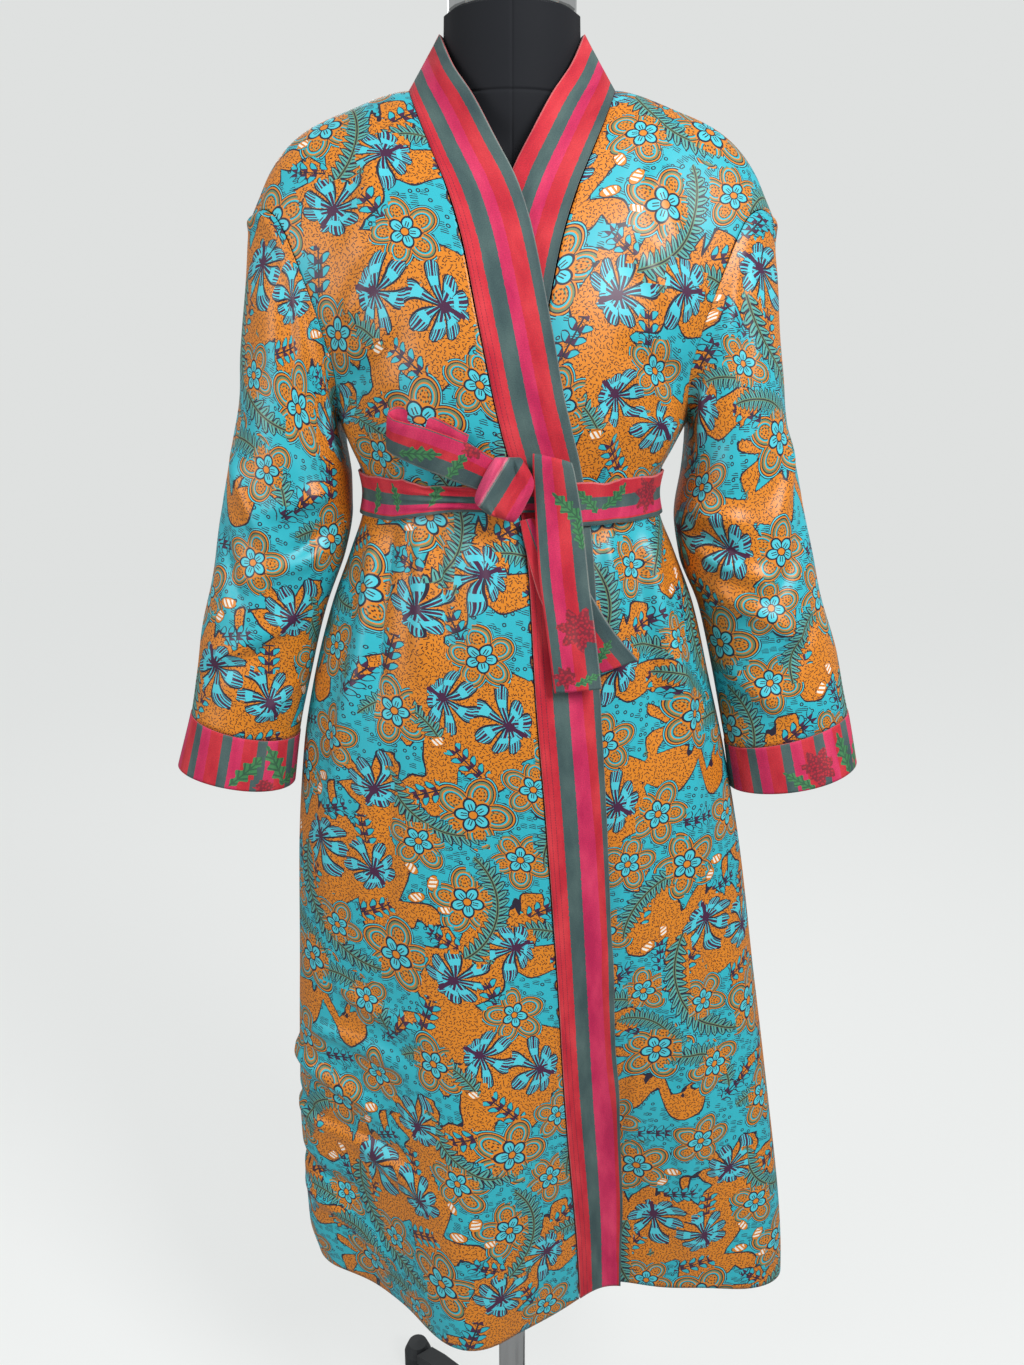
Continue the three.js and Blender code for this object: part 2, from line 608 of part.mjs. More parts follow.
function knot() {
  const steps = 12;
  const rings = spread(10, -1, 1).map((t) => {
    const size = Math.sqrt(1 - Math.min(Math.abs(t), 0.96) ** 4);
    return spread(steps).slice(0, steps).map((share) => {
      const turn = 2 * Math.PI * share;
      const across = KNOT.wide * size * Math.sign(Math.cos(turn)) * Math.abs(Math.cos(turn)) ** 0.8;
      const deep = KNOT.deep * size * Math.sin(turn);
      const tilt = radians(KNOT.tilt);
      return new THREE.Vector3(
        KNOT.x + KNOT.long * t * Math.cos(tilt) + across * Math.sin(tilt),
        onBody(KNOT.x, KNOT.z).y - KNOT.off + deep,
        KNOT.z + KNOT.long * t * Math.sin(tilt) - across * Math.cos(tilt),
      );
    });
  });
  return loft(rings);
}

// The dress form and its stand
function formTorso() {
  const sides = 32;
  const blend = 6;
  const rings = FORM.map((row) => spread(sides).slice(0, sides).map((share) => {
    const turn = 2 * Math.PI * share;
    const depth = Math.sin(turn) > 0 ? row.back : row.front;
    const trunk = 1 / Math.hypot(Math.cos(turn) / row.half, Math.sin(turn) / depth);
    const radius = (trunk ** blend + row.neck ** blend) ** (1 / blend);
    return new THREE.Vector3(radius * Math.cos(turn), radius * Math.sin(turn), row.z);
  }));
  return loft(rings);
}

function turned(profile, sides = 24) {
  const points = profile.map(([radius, z]) => new THREE.Vector2(radius, z));
  const geometry = new THREE.LatheGeometry(points, sides).rotateX(Math.PI / 2);
  geometry.deleteAttribute('normal');
  geometry.deleteAttribute('uv');
  return mergeVertices(geometry, 1e-3);
}

function leg(angle) {
  const foot = FOOT.reach - FOOT.radius - SEAM_GAP;
  const outline = new THREE.Shape();
  outline.moveTo(HUB.radius + SEAM_GAP, LEG.innerBottom);
  outline.quadraticCurveTo(0.6 * foot, LEG.innerBottom - 6, foot, LEG.outerBottom - 20);
  outline.lineTo(foot, LEG.outerTop - 20);
  outline.quadraticCurveTo(0.6 * foot, LEG.innerTop - 8, HUB.radius + SEAM_GAP, LEG.innerTop);
  const geometry = new THREE.ExtrudeGeometry(outline, {
    depth: LEG.width, bevelEnabled: false, curveSegments: 5,
  });
  geometry.translate(0, 0, -LEG.width / 2).rotateX(Math.PI / 2).rotateZ(radians(angle));
  geometry.deleteAttribute('normal');
  geometry.deleteAttribute('uv');
  return mergeVertices(geometry, 1e-3);
}

add(robe, 'band_neck', neckBand(), 'velvet', 0.9);
add(robe, 'belt', beltWrap(), 'velvet', 0.9);
add(robe, 'knot', knot(), 'velvet', 0.9);
add(robe, 'bow', bow(), 'velvet', 0.9);
add(robe, 'tail_front', tail(TAIL_FRONT), 'velvet', 0.9);
add(robe, 'tail_rear', tail(TAIL_REAR), 'velvet', 0.9);

const torsoTop = FORM[FORM.length - 1].z;
add(stand, 'form_torso', formTorso(), 'form', 0.6);
add(stand, 'neck_cap', turned([
  [0, torsoTop + SEAM_GAP], [CAP_RADIUS - 2, torsoTop + SEAM_GAP], [CAP_RADIUS, torsoTop + 3],
  [CAP_RADIUS, CAP_TOP - 12], [CAP_RADIUS - 6, CAP_TOP - 4], [20, CAP_TOP], [0, CAP_TOP],
]), 'chrome', 0.15, 1);
add(stand, 'pole', turned([
  [0, HUB.top + SEAM_GAP], [POLE_RADIUS, HUB.top + SEAM_GAP],
  [POLE_RADIUS, FORM[0].z - SEAM_GAP], [0, FORM[0].z - SEAM_GAP],
]), 'chrome', 0.2, 1);
add(stand, 'base_hub', turned([
  [0, HUB.bottom], [HUB.radius, HUB.bottom], [HUB.radius, HUB.top - 6],
  [HUB.radius - 6, HUB.top], [0, HUB.top],
]), 'base', 0.5);
LEG_ANGLES.forEach((angle, i) => {
  add(stand, `leg_${i + 1}`, leg(angle), 'base', 0.5);
  const foot = turned([
    [0, 0], [FOOT.radius, 0], [FOOT.radius, FOOT.height * 0.6],
    [FOOT.radius * 0.7, FOOT.height * 0.93], [0, FOOT.height],
  ], 20);
  const reach = radians(angle);
  foot.translate(FOOT.reach * Math.cos(reach), FOOT.reach * Math.sin(reach), 0);
  add(stand, `foot_${i + 1}`, foot, 'base', 0.6);
});

add(robe, 'back_right', backPanel(-1), 'print', 0.5);
add(robe, 'back_left', backPanel(1), 'print', 0.5);
add(robe, 'front_right', frontPanel(-1), 'print', 0.5);
add(robe, 'front_left', frontPanel(1), 'print', 0.5);
add(robe, 'sleeve_right_front', sleeveHalf(SLEEVE_RIGHT, false), 'print', 0.5);
add(robe, 'sleeve_right_back', sleeveHalf(SLEEVE_RIGHT, true), 'print', 0.5);
add(robe, 'sleeve_left_front', sleeveHalf(SLEEVE_LEFT, false), 'print', 0.5);
add(robe, 'sleeve_left_back', sleeveHalf(SLEEVE_LEFT, true), 'print', 0.5);
add(robe, 'cuff_right', cuff(SLEEVE_RIGHT), 'velvet', 0.9);
add(robe, 'cuff_left', cuff(SLEEVE_LEFT), 'velvet', 0.9);
add(robe, 'band_right', frontBand(-1), 'velvet', 0.9);
add(robe, 'band_left', frontBand(1), 'velvet', 0.9);

export default new THREE.Group().add(robe, stand);
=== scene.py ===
"""A printed satin wrap robe with striped velvet bands, on a limbless dress form."""
import math

import bpy
import numpy as np
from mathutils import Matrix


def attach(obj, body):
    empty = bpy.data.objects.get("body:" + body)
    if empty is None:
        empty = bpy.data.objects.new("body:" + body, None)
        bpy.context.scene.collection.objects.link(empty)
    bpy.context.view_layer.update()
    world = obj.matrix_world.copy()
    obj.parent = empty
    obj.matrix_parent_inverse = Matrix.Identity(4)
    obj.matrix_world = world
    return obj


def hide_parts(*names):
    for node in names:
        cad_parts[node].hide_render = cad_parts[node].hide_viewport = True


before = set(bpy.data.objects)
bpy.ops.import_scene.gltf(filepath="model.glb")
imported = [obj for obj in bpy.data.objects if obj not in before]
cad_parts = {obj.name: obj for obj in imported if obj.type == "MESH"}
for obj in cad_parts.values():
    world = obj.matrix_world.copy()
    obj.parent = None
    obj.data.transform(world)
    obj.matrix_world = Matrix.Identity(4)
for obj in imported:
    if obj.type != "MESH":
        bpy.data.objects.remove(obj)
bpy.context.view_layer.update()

MM = 0.001

# Camera: close in front at the height of the chest, looking down a little
CAMERA_DISTANCE = 1120
CAMERA_HEIGHT = 1487
CAMERA_PITCH = 17
CAMERA_LENS = 29.54


def make_camera():
    data = bpy.data.cameras.new("camera")
    data.lens = CAMERA_LENS
    data.sensor_width = 36
    data.clip_start = 0.05
    data.clip_end = 60
    camera = bpy.data.objects.new("camera", data)
    camera.location = (0, -CAMERA_DISTANCE * MM, CAMERA_HEIGHT * MM)
    camera.rotation_euler = (math.radians(90 - CAMERA_PITCH), 0, 0)
    bpy.context.scene.collection.objects.link(camera)
    bpy.context.scene.camera = camera


make_camera()

# Heights above the floor, in millimetres
HEM = 425
UNDERARM = 1412
WAIST = 1345
NECK_POINT = 1700

# Cloth thicknesses, how far the lap stands off, the belt's height, how wide the neck's root reaches
SATIN = 1.2
VELVET = 2.2
LAP_LIFT = 5.6
BELT_HEIGHT = 42
NECK_ROOT_REACH = 70

# Where the lap's lift ends: a share of the half-width and a height, each with its fade
LAP_EDGE, LAP_EDGE_FADE = 0.62, 0.25
LAP_TOP, LAP_TOP_FADE = 1672, 60

# Half-width at the underarm, the neck point's distance from the middle, the least drop below the shoulder
UNDERARM_HALF = 167
NECK_POINT_X = 91
LEAST_DROP = 0.002

# The turn left free at a seam in degrees, the first level above the underarm, rounds of each search
SEAM_TURN = 0.2
ABOVE_UNDERARM = 1.0001
ANGLE_ROUNDS, SEAM_ROUNDS, NECK_ROUNDS = 26, 8, 6


def table(columns, *rows):
    """A short table with named columns."""
    values = np.array(rows, dtype=float)
    return {name: values[:, i] for i, name in enumerate(columns.split())}


# Rings of the body below the armholes: half-widths to each side, depths to front and back
RINGS = table(
    "at left right front back",
    (425, 236, 320, 97, 146),
    (474, 246, 317, 99, 146),
    (604, 248, 303, 103, 143),
    (706, 243, 289, 106, 140),
    (820, 237, 270, 109, 137),
    (962, 231, 246, 113, 134),
    (1078, 219, 222, 117, 130),
    (1153, 204, 203, 118, 125),
    (1230, 182, 183, 115, 117),
    (1288, 160, 160, 109, 107),
    (1325, 147, 145, 103, 98),
    (1345, 144, 142, 102, 97),
    (1365, 147, 145, 104, 98),
    (1388, 156, 156, 109, 100),
    (1412, 166, 168, 114, 102),
)

# Chest: at is the square root of the way down from the shoulder line to the underarm
CHEST = table(
    "at side armhole front back root",
    (0, 275, 242, 0, 0, 0),
    (0.1, 273, 240, 14, 15, 38),
    (0.2, 270, 236, 29, 30, 42),
    (0.35, 264, 225, 50, 56, 30),
    (0.5, 258, 209, 70, 78, 15),
    (0.65, 242, 193, 92, 95, 5),
    (0.75, 223, 181, 105, 101, 1),
    (0.83, 204, 171, 113, 104, 0),
    (0.92, 180, 163, 117, 104, 0),
    (1, 167, 167, 114, 102, 0),
)

ARMHOLE_SHARE = table(
    "at drop",
    (0, 0), (14, 0.25), (32, 0.48), (54, 0.64), (76, 0.755), (97, 0.835), (128, 0.93), (180, 1),
)

SHOULDER = table(
    "at z",
    (0, 1702), (91, 1700), (155, 1681), (179, 1671), (195, 1661), (209, 1648),
    (221, 1632), (232, 1611), (242, 1592), (275, 1540),
)

# Skirt folds: angle from the -X side by the front, push at the hem, spread, top
FOLDS = (
    (44, -14, 13, 980),
    (81, 56, 15, 1050),
    (112, -30, 13, 1000),
    (152, 30, 14, 940),
    (196, -16, 12, 1000),
    (221, 24, 12, 1060),
    (246, -18, 11, 1020),
    (270, 26, 12, 1080),
    (294, -18, 11, 1000),
    (320, 22, 12, 1040),
    (344, -14, 10, 960),
)

BAND = table(
    "seam_x seam_z free_x free_z stand free_y",
    (73, 425, 128, 425, 0, 0),
    (68, 505, 126, 505, 0, 0),
    (55, 690, 114, 690, 0, 0),
    (44, 874, 102, 874, 0, 0),
    (32, 1040, 91, 1040, 0, 0),
    (21, 1170, 81, 1170, 0, 0),
    (14, 1285, 73, 1290, 0, 0),
    (2, 1365, 60, 1378, 0, 0),
    (-13, 1425, 45, 1438, 0, 0),
    (-29, 1503, 30, 1515, 0, 0),
    (-43, 1570, 14, 1587, 0, -92),
    (-56, 1611, -2, 1630, 0.5, -79),
    (-69, 1643, -17, 1658, 1, -72),
    (-80, 1669, -33, 1687, 1, -62),
    (-88, 1690, -51, 1715, 1, -41),
    (-91, 1700, -63, 1745, 1, -4),
)
BAND["at"] = np.linspace(0, 1, len(BAND["seam_x"]))

NECK_BAND = table(
    "at seam_x seam_z free_x free_y free_z",
    (0, 0, 1687, 0, 68, 1753),
    (1 / 3, -46, 1690, -40, 58, 1752),
    (2 / 3, -76, 1696, -60, 30, 1749),
    (1, -91, 1700, -63, -4, 1745),
)

SLEEVE_COLUMNS = "at oval out_x out_z in_x in_z front back mid_y"
SLEEVE_RIGHT = table(
    SLEEVE_COLUMNS,
    (0, 0, -242, 1592, -167, 1412, 60, 56, 0),
    (1, 0.3, -246, 1562, -169, 1398, 62, 58, 0),
    (2, 0.65, -251, 1520, -165, 1380, 63, 60, 0),
    (3, 1, -258, 1465, -160, 1358, 62, 60, 0),
    (4, 1, -268, 1405, -160, 1328, 61, 59, -1),
    (5, 1, -284, 1335, -169, 1284, 59, 58, -3),
    (6, 1, -301, 1260, -190, 1228, 57, 56, -6),
    (7, 1, -317, 1188, -208, 1163, 54, 53, -9),
    (8, 1, -331, 1120, -224, 1094, 50, 49, -12),
    (9, 1, -345, 1062, -233, 1042, 49, 48, -14),
)
SLEEVE_LEFT = table(
    SLEEVE_COLUMNS,
    (0, 0, 242, 1592, 167, 1412, 60, 56, 0),
    (1, 0.3, 246, 1562, 175, 1398, 62, 58, 0),
    (2, 0.65, 250, 1520, 173, 1380, 64, 60, 0),
    (3, 1, 256, 1465, 168, 1358, 64, 60, 0),
    (4, 1, 268, 1405, 163, 1322, 62, 59, -1),
    (5, 1, 285, 1335, 170, 1280, 60, 58, -3),
    (6, 1, 306, 1260, 191, 1228, 58, 56, -6),
    (7, 1, 328, 1188, 208, 1163, 54, 53, -9),
    (8, 1, 347, 1120, 225, 1084, 48, 48, -12),
    (9, 1, 359, 1064, 236, 1036, 47, 47, -14),
)
SLEEVES = (("right", SLEEVE_RIGHT), ("left", SLEEVE_LEFT))
CUFF_SEAM = 8
ARMHOLE_SEAM_CLEAR, ARMHOLE_CLEAR = 0.4, 2.6


def read(rows, at, column):
    """Smooth reading of one column of a table, without overshoot."""
    key, value = rows["at"], rows[column]
    at = np.clip(np.asarray(at, dtype=float), key[0], key[-1])
    step = np.diff(key)
    rise = np.diff(value) / step
    slope = np.empty_like(value)
    slope[0], slope[-1] = rise[0], rise[-1]
    before, after = rise[:-1], rise[1:]
    together = before + after
    safe = np.where(np.abs(together) < 1e-12, 1, together)
    slope[1:-1] = np.where(before * after <= 0, 0, 2 * before * after / safe)
    i = np.clip(np.searchsorted(key, at, side="right") - 1, 0, len(key) - 2)
    t = (at - key[i]) / step[i]
    gap = step[i]
    return ((2 * t**3 - 3 * t**2 + 1) * value[i] + (t**3 - 2 * t**2 + t) * gap * slope[i]
            + (3 * t**2 - 2 * t**3) * value[i + 1] + (t**3 - t**2) * gap * slope[i + 1])


def smooth(value):
    value = np.clip(value, 0, 1)
    return value * value * (3 - 2 * value)


def mix(a, b, share):
    return a + (b - a) * share


def wrapped(value, period):
    return (value + period / 2) % period - period / 2


def stack(x, y, z):
    return np.stack(np.broadcast_arrays(x, y, z), axis=-1).astype(float)


def spread(across, down):
    """Two lists of places as grids: one changes along the rows, the other down the columns."""
    return np.broadcast_arrays(across[None, :], down[:, None])


def fold_push(angle, z):
    push = 0
    for centre, most, spread, top in FOLDS:
        away = wrapped(angle - centre, 360)
        push = push + most * smooth((top - z) / (top - HEM)) * np.exp(-((away / spread) ** 2))
    return push


def body_point(angle, level):
    """The robe's body; level runs 0 to 1 from hem to underarm, and on to 2 at the shoulder."""
    across, deep = np.cos(np.radians(angle)), np.sin(np.radians(angle))
    z_low = mix(HEM, UNDERARM, np.minimum(level, 1))
    half = np.where(across > 0, read(RINGS, z_low, "left"), read(RINGS, z_low, "right"))
    depth = np.where(deep > 0, read(RINGS, z_low, "front"), read(RINGS, z_low, "back"))
    push = fold_push(angle, z_low)
    low = stack(-(half + push) * across, -(depth + push) * deep, z_low)
    drop = np.clip(2 - level, 0, 1)
    x = -read(CHEST, drop, "side") * across
    root = read(CHEST, drop, "root") * np.exp(-((x / NECK_ROOT_REACH) ** 2))
    depth = np.where(deep > 0, read(CHEST, drop, "front"), read(CHEST, drop, "back") + root)
    top = read(SHOULDER, np.abs(x), "z")
    high = stack(x, -depth * deep, mix(top, UNDERARM, drop**2))
    return np.where((np.asarray(level) <= 1)[..., None], low, high)


def angle_at(x, level, behind=False):
    x, level = np.broadcast_arrays(np.asarray(x, dtype=float), np.asarray(level, dtype=float))
    low = np.full(x.shape, 360.0 if behind else 0.0)
    high = np.full(x.shape, 180.0)
    for _ in range(ANGLE_ROUNDS):
        middle = (low + high) / 2
        less = body_point(middle, level)[..., 0] < x
        low = np.where(less, middle, low)
        high = np.where(less, high, middle)
    return (low + high) / 2


def level_of(z):
    return (np.asarray(z, dtype=float) - HEM) / (UNDERARM - HEM)


def level_at(x, z):
    top = read(SHOULDER, np.abs(x), "z")
    share = np.clip((z - UNDERARM) / (top - UNDERARM), 0, 1)
    return np.where(z <= UNDERARM, level_of(z), 2 - np.sqrt(1 - share))


def on_body(x, z, behind=False):
    level = level_at(x, z)
    return body_point(angle_at(x, level, behind), level)


def lap(x, z):
    """How much of the lapped-over front lies over other cloth."""
    half = np.where(z <= UNDERARM, read(RINGS, np.minimum(z, UNDERARM), "left"), UNDERARM_HALF)
    over_under = 1 - smooth((-x / half - LAP_EDGE) / LAP_EDGE_FADE)
    return over_under * smooth((LAP_TOP - z) / LAP_TOP_FADE)


def seam_angle(level, side):
    seam = {"at": BAND["seam_z"], "x": BAND["seam_x"]}
    x = np.zeros_like(level)
    for _ in range(SEAM_ROUNDS):
        top = read(SHOULDER, np.abs(x), "z")
        z = np.where(level <= 1, mix(HEM, UNDERARM, level), mix(top, UNDERARM, (2 - level) ** 2))
        x = -side * read(seam, z, "x")
    return angle_at(x, level)


def armhole_angle(level, side, behind):
    end = 180.0 if side > 0 else (360.0 if behind else 0.0)
    x = side * read(CHEST, np.clip(2 - level, 0, 1), "armhole")
    return np.where(level <= 1, end, angle_at(x, np.maximum(level, ABOVE_UNDERARM), behind))


def off_seam(angle, towards):
    return angle + np.sign(towards - angle) * SEAM_TURN


def front_surface(side, across, levels):
    """A front panel; across runs 0 to 1 towards +X."""
    start = armhole_angle(levels, side, False)
    seam = seam_angle(levels, side)
    ends = off_seam(start, 90), off_seam(seam, start)
    low, high = ends if side < 0 else reversed(ends)
    angle = mix(low[:, None], high[:, None], across[None, :])
    return body_point(angle, levels[:, None] + 0 * angle)


def neckline_drop(x):
    seam = {"at": -NECK_BAND["seam_x"], "z": NECK_BAND["seam_z"]}
    z = read(seam, np.abs(x), "z")
    drop = np.maximum(LEAST_DROP, 2 - level_at(x, z))
    return np.where(np.abs(x) >= NECK_POINT_X, LEAST_DROP, drop)


def back_angle(across, level):
    left, right = (off_seam(armhole_angle(level, side, True), 270) for side in (1, -1))
    return mix(left, right, across)


def back_surface(across, levels):
    """The back panel; across runs from +X round behind to -X, levels above 1 end at the neckline."""
    across, levels = spread(across, levels)
    top = np.full(across.shape, 2.0)
    for _ in range(NECK_ROUNDS):
        top = 2 - neckline_drop(body_point(back_angle(across, top), top)[..., 0])
    level = np.where(levels <= 1, levels, 1 + (levels - 1) * (top - 1))
    return body_point(back_angle(across, level), level)


def sleeve_point(rows, angle, along):
    """A sleeve; angle is 0 at its -X edge, 90 in front and 180 at its +X edge."""
    side = math.copysign(1, rows["out_x"][0])
    share = (1 + np.cos(np.radians(angle))) / 2
    out_share = share if side < 0 else 1 - share
    deep = np.sin(np.radians(angle))
    depth = np.where(deep > 0, read(rows, along, "front"), read(rows, along, "back"))
    oval = stack(
        mix(read(rows, along, "in_x"), read(rows, along, "out_x"), out_share),
        read(rows, along, "mid_y") - depth * deep,
        mix(read(rows, along, "in_z"), read(rows, along, "out_z"), out_share),
    )
    turn = np.mod(angle, 360)
    half = np.where(turn <= 180, turn, 360 - turn)
    drop = read(ARMHOLE_SHARE, half if side < 0 else 180 - half, "drop")
    level = np.clip(2 - drop, ABOVE_UNDERARM, 2)
    front = body_point(armhole_angle(level, side, False), level)
    behind = body_point(armhole_angle(level, side, True), level)
    armhole = np.where((turn > 180)[..., None], behind, front)
    armhole[..., 0] += side * mix(ARMHOLE_SEAM_CLEAR, ARMHOLE_CLEAR, smooth(along / 0.5))
    whole = np.clip(read(rows, along, "oval"), 0, 1)[..., None]
    return mix(armhole, oval, whole)


def sleeve_surface(rows, turns, along):
    return sleeve_point(rows, *spread(turns * 360, along))


def band_surface(side, across, along):
    across, along = spread(across, along)
    if side > 0:
        across = 1 - across
    x = mix(read(BAND, along, "seam_x"), read(BAND, along, "free_x"), across)
    z = mix(read(BAND, along, "seam_z"), read(BAND, along, "free_z"), across)
    seam_y = on_body(read(BAND, along, "seam_x"), np.minimum(read(BAND, along, "seam_z"), NECK_POINT))
    stand = smooth(read(BAND, along, "stand"))
    flat_y = on_body(x, np.minimum(z, NECK_POINT))[..., 1]
    free_y = mix(seam_y[..., 1], read(BAND, along, "free_y"), across)
    return stack(-side * x, mix(flat_y, free_y, stand), z)


def neck_surface(across, up):
    across, up = spread(across, up)
    turn = 2 * across - 1
    away = np.abs(turn)
    mirror = np.where(turn < 0, -1, 1)
    seam_x, seam_z = read(NECK_BAND, away, "seam_x"), read(NECK_BAND, away, "seam_z")
    seam_y = on_body(seam_x, seam_z, True)[..., 1]
    return stack(
        mirror * mix(seam_x, read(NECK_BAND, away, "free_x"), up),
        mix(seam_y, read(NECK_BAND, away, "free_y"), up),
        mix(seam_z, read(NECK_BAND, away, "free_z"), up),
    )


def grid_normals(points, closed):
    if closed:
        ring = points[:, :-1]
        along_u = np.roll(ring, -1, axis=1) - np.roll(ring, 1, axis=1)
        along_u = np.concatenate([along_u, along_u[:, :1]], axis=1)
    else:
        along_u = np.gradient(points, axis=1)
    along_v = np.gradient(points, axis=0)
    normal = np.cross(along_u, along_v)
    return normal / np.maximum(np.linalg.norm(normal, axis=-1, keepdims=True), 1e-9)


def arc_lengths(points, axis):
    step = np.linalg.norm(np.diff(points, axis=axis), axis=-1)
    length = np.cumsum(step, axis=axis)
    pad = [(0, 0), (0, 0)]
    pad[axis] = (1, 0)
    return np.pad(length, pad)


def flat_places(points, column):
    """Where each point of a grid lies on the flat cloth: across from a column, up from the first row."""
    across = arc_lengths(points, 1)
    return across - across[:, column:column + 1], arc_lengths(points, 0)


CORNERS = (np.s_[:-1, :-1], np.s_[:-1, 1:], np.s_[1:, 1:], np.s_[1:, :-1])


def corner_values(grid):
    """The four corners' values of each face of a grid."""
    return np.stack([grid[c] for c in CORNERS], axis=-1)


def make_mesh(name, points, quads, smooth_faces=True):
    mesh = bpy.data.meshes.new(name)
    mesh.vertices.add(len(points))
    mesh.vertices.foreach_set("co", (np.asarray(points) * MM).astype(np.float32).ravel())
    mesh.loops.add(quads.size)
    mesh.loops.foreach_set("vertex_index", quads.astype(np.int32).ravel())
    mesh.polygons.add(len(quads))
    mesh.polygons.foreach_set("loop_start", (np.arange(len(quads)) * quads.shape[1]).astype(np.int32))
    mesh.update(calc_edges=True)
    if smooth_faces:
        mesh.shade_smooth()
    piece = bpy.data.objects.new(name, mesh)
    bpy.context.scene.collection.objects.link(piece)
    return piece


def grid_quads(rows, columns, closed):
    """The quads of a grid of points; a closed grid joins its last column to its first."""
    j, i = np.meshgrid(np.arange(rows - 1), np.arange(columns if closed else columns - 1), indexing="ij")
    start, i = j.ravel() * columns, i.ravel()
    near = (i + 1) % columns
    return np.stack([start + i, start + near, start + columns + near, start + columns + i], axis=1)


FLIPPED = [0, 3, 2, 1]


def shell(name, outer, inner, closed, materials, values):
    """A closed wall between two grids of points. values holds per-face-corner grids for the shader."""
    if closed:
        outer, inner = outer[:, :-1], inner[:, :-1]
    rows, columns = outer.shape[:2]
    count = rows * columns
    outside = grid_quads(rows, columns, closed)
    faces = [outside, count + outside[:, FLIPPED]]
    i = np.arange(columns if closed else columns - 1)
    near = (i + 1) % columns
    end = count - columns
    faces.append(np.stack([near, i, count + i, count + near], axis=1))
    faces.append(np.stack([end + i, end + near, count + end + near, count + end + i], axis=1))
    if not closed:
        low = np.arange(rows - 1) * columns
        high = low + columns
        faces.append(np.stack([low, high, count + high, count + low], axis=1))
        low, high = low + columns - 1, high + columns - 1
        faces.append(np.stack([high, low, count + low, count + high], axis=1))
    quads = np.concatenate(faces)
    points = np.concatenate([outer.reshape(-1, 3), inner.reshape(-1, 3)])
    piece = make_mesh(name, points, quads)
    for material in materials:
        piece.data.materials.append(material)
    side = len(outside)
    if len(materials) > 1:
        index = np.zeros(len(quads), dtype=np.int32)
        index[side:2 * side] = 1
        piece.data.polygons.foreach_set("material_index", index)
    for key, corners in values.items():
        corners = corners.reshape(side, 4, -1)
        whole = np.zeros((len(quads), 4, corners.shape[-1]), dtype=np.float32)
        whole[:side] = corners
        whole[side:2 * side] = corners[:, FLIPPED]
        write_corners(piece.data, key, whole.reshape(-1, corners.shape[-1]))
    return piece


def write_corners(mesh, key, data):
    kind = "FLOAT" if data.shape[1] == 1 else "FLOAT_VECTOR"
    if data.shape[1] == 2:
        data = np.pad(data, [(0, 0), (0, 1)])
    attribute = mesh.attributes.new(key, kind, "CORNER")
    attribute.data.foreach_set("value" if kind == "FLOAT" else "vector", data.astype(np.float32).ravel())


def colour(*screen):
    """Linear colour from red, green and blue on the screen, 0 to 255."""
    shares = [c / 255 for c in screen]
    return (*(c / 12.92 if c <= 0.04045 else ((c + 0.055) / 1.055) ** 2.4 for c in shares), 1)


def new_material(name, roughness, sheen):
    """A material, its node tree and its shader's inputs."""
    material = bpy.data.materials.new(name)
    material.use_nodes = True
    shader = material.node_tree.nodes["Principled BSDF"].inputs
    shader["Roughness"].default_value = roughness
    shader["Sheen Weight"].default_value = sheen
    return material, material.node_tree, shader


def plain(name, tint, roughness, sheen=0.0):
    material, tree, shader = new_material(name, roughness, sheen)
    shader["Base Color"].default_value = tint
    return material, tree, shader


LINING = plain("satin reverse", colour(190, 150, 100), 0.6)[0]


def operation(kind):
    """A method that adds one arithmetic node."""
    return lambda self, *others: self.call(kind, *others)


class Wire:
    """A shader socket that can be written as arithmetic."""

    def __init__(self, tree, socket):
        self.tree, self.socket = tree, socket

    def call(self, kind, *others, clamp=False):
        node = self.tree.nodes.new("ShaderNodeMath")
        node.operation = kind
        node.use_clamp = clamp
        for slot, value in zip(node.inputs, (self, *others)):
            if isinstance(value, Wire):
                self.tree.links.new(value.socket, slot)
            else:
                slot.default_value = value
        return Wire(self.tree, node.outputs[0])

    def __rsub__(self, other):
        return self * -1 + other

    def within(self, low, high):
        return self.more(low) * self.less(high)

    def clamped(self):
        return self.call("ADD", 0, clamp=True)

    __add__ = __radd__ = operation("ADD")
    __sub__ = operation("SUBTRACT")
    __mul__ = __rmul__ = operation("MULTIPLY")
    __truediv__ = operation("DIVIDE")
    __abs__ = operation("ABSOLUTE")
    less = operation("LESS_THAN")
    more = operation("GREATER_THAN")
    either = at_least = operation("MAXIMUM")
    at_most = operation("MINIMUM")
    fraction = operation("FRACT")
    floor = operation("FLOOR")
    power = operation("POWER")
    root = operation("SQRT")
    sine = operation("SINE")
    cosine = operation("COSINE")
    angle_from = operation("ARCTAN2")


def length(x, y):
    return (x * x + y * y).root()


def attribute(tree, name):
    """The outputs of a mesh attribute."""
    node = tree.nodes.new("ShaderNodeAttribute")
    node.attribute_name = name
    return node.outputs


def split(tree, socket):
    node = tree.nodes.new("ShaderNodeSeparateXYZ")
    tree.links.new(socket, node.inputs[0])
    return [Wire(tree, node.outputs[i]) for i in range(3)]


def blend(tree, share, under, over):
    """over, where share is 1, on top of under; each is a colour or a colour socket."""
    node = tree.nodes.new("ShaderNodeMix")
    node.data_type = "RGBA"
    for slot, value in ((node.inputs[0], share), (node.inputs[6], under), (node.inputs[7], over)):
        if isinstance(value, Wire):
            tree.links.new(value.socket, slot)
        elif isinstance(value, bpy.types.NodeSocket):
            tree.links.new(value, slot)
        else:
            slot.default_value = value
    return node.outputs[2]


def coats(tree, tint, *layers):
    """Colours laid over a ground one after another, each where its share is 1."""
    for share, over in layers:
        tint = blend(tree, share, tint, over)
    return tint


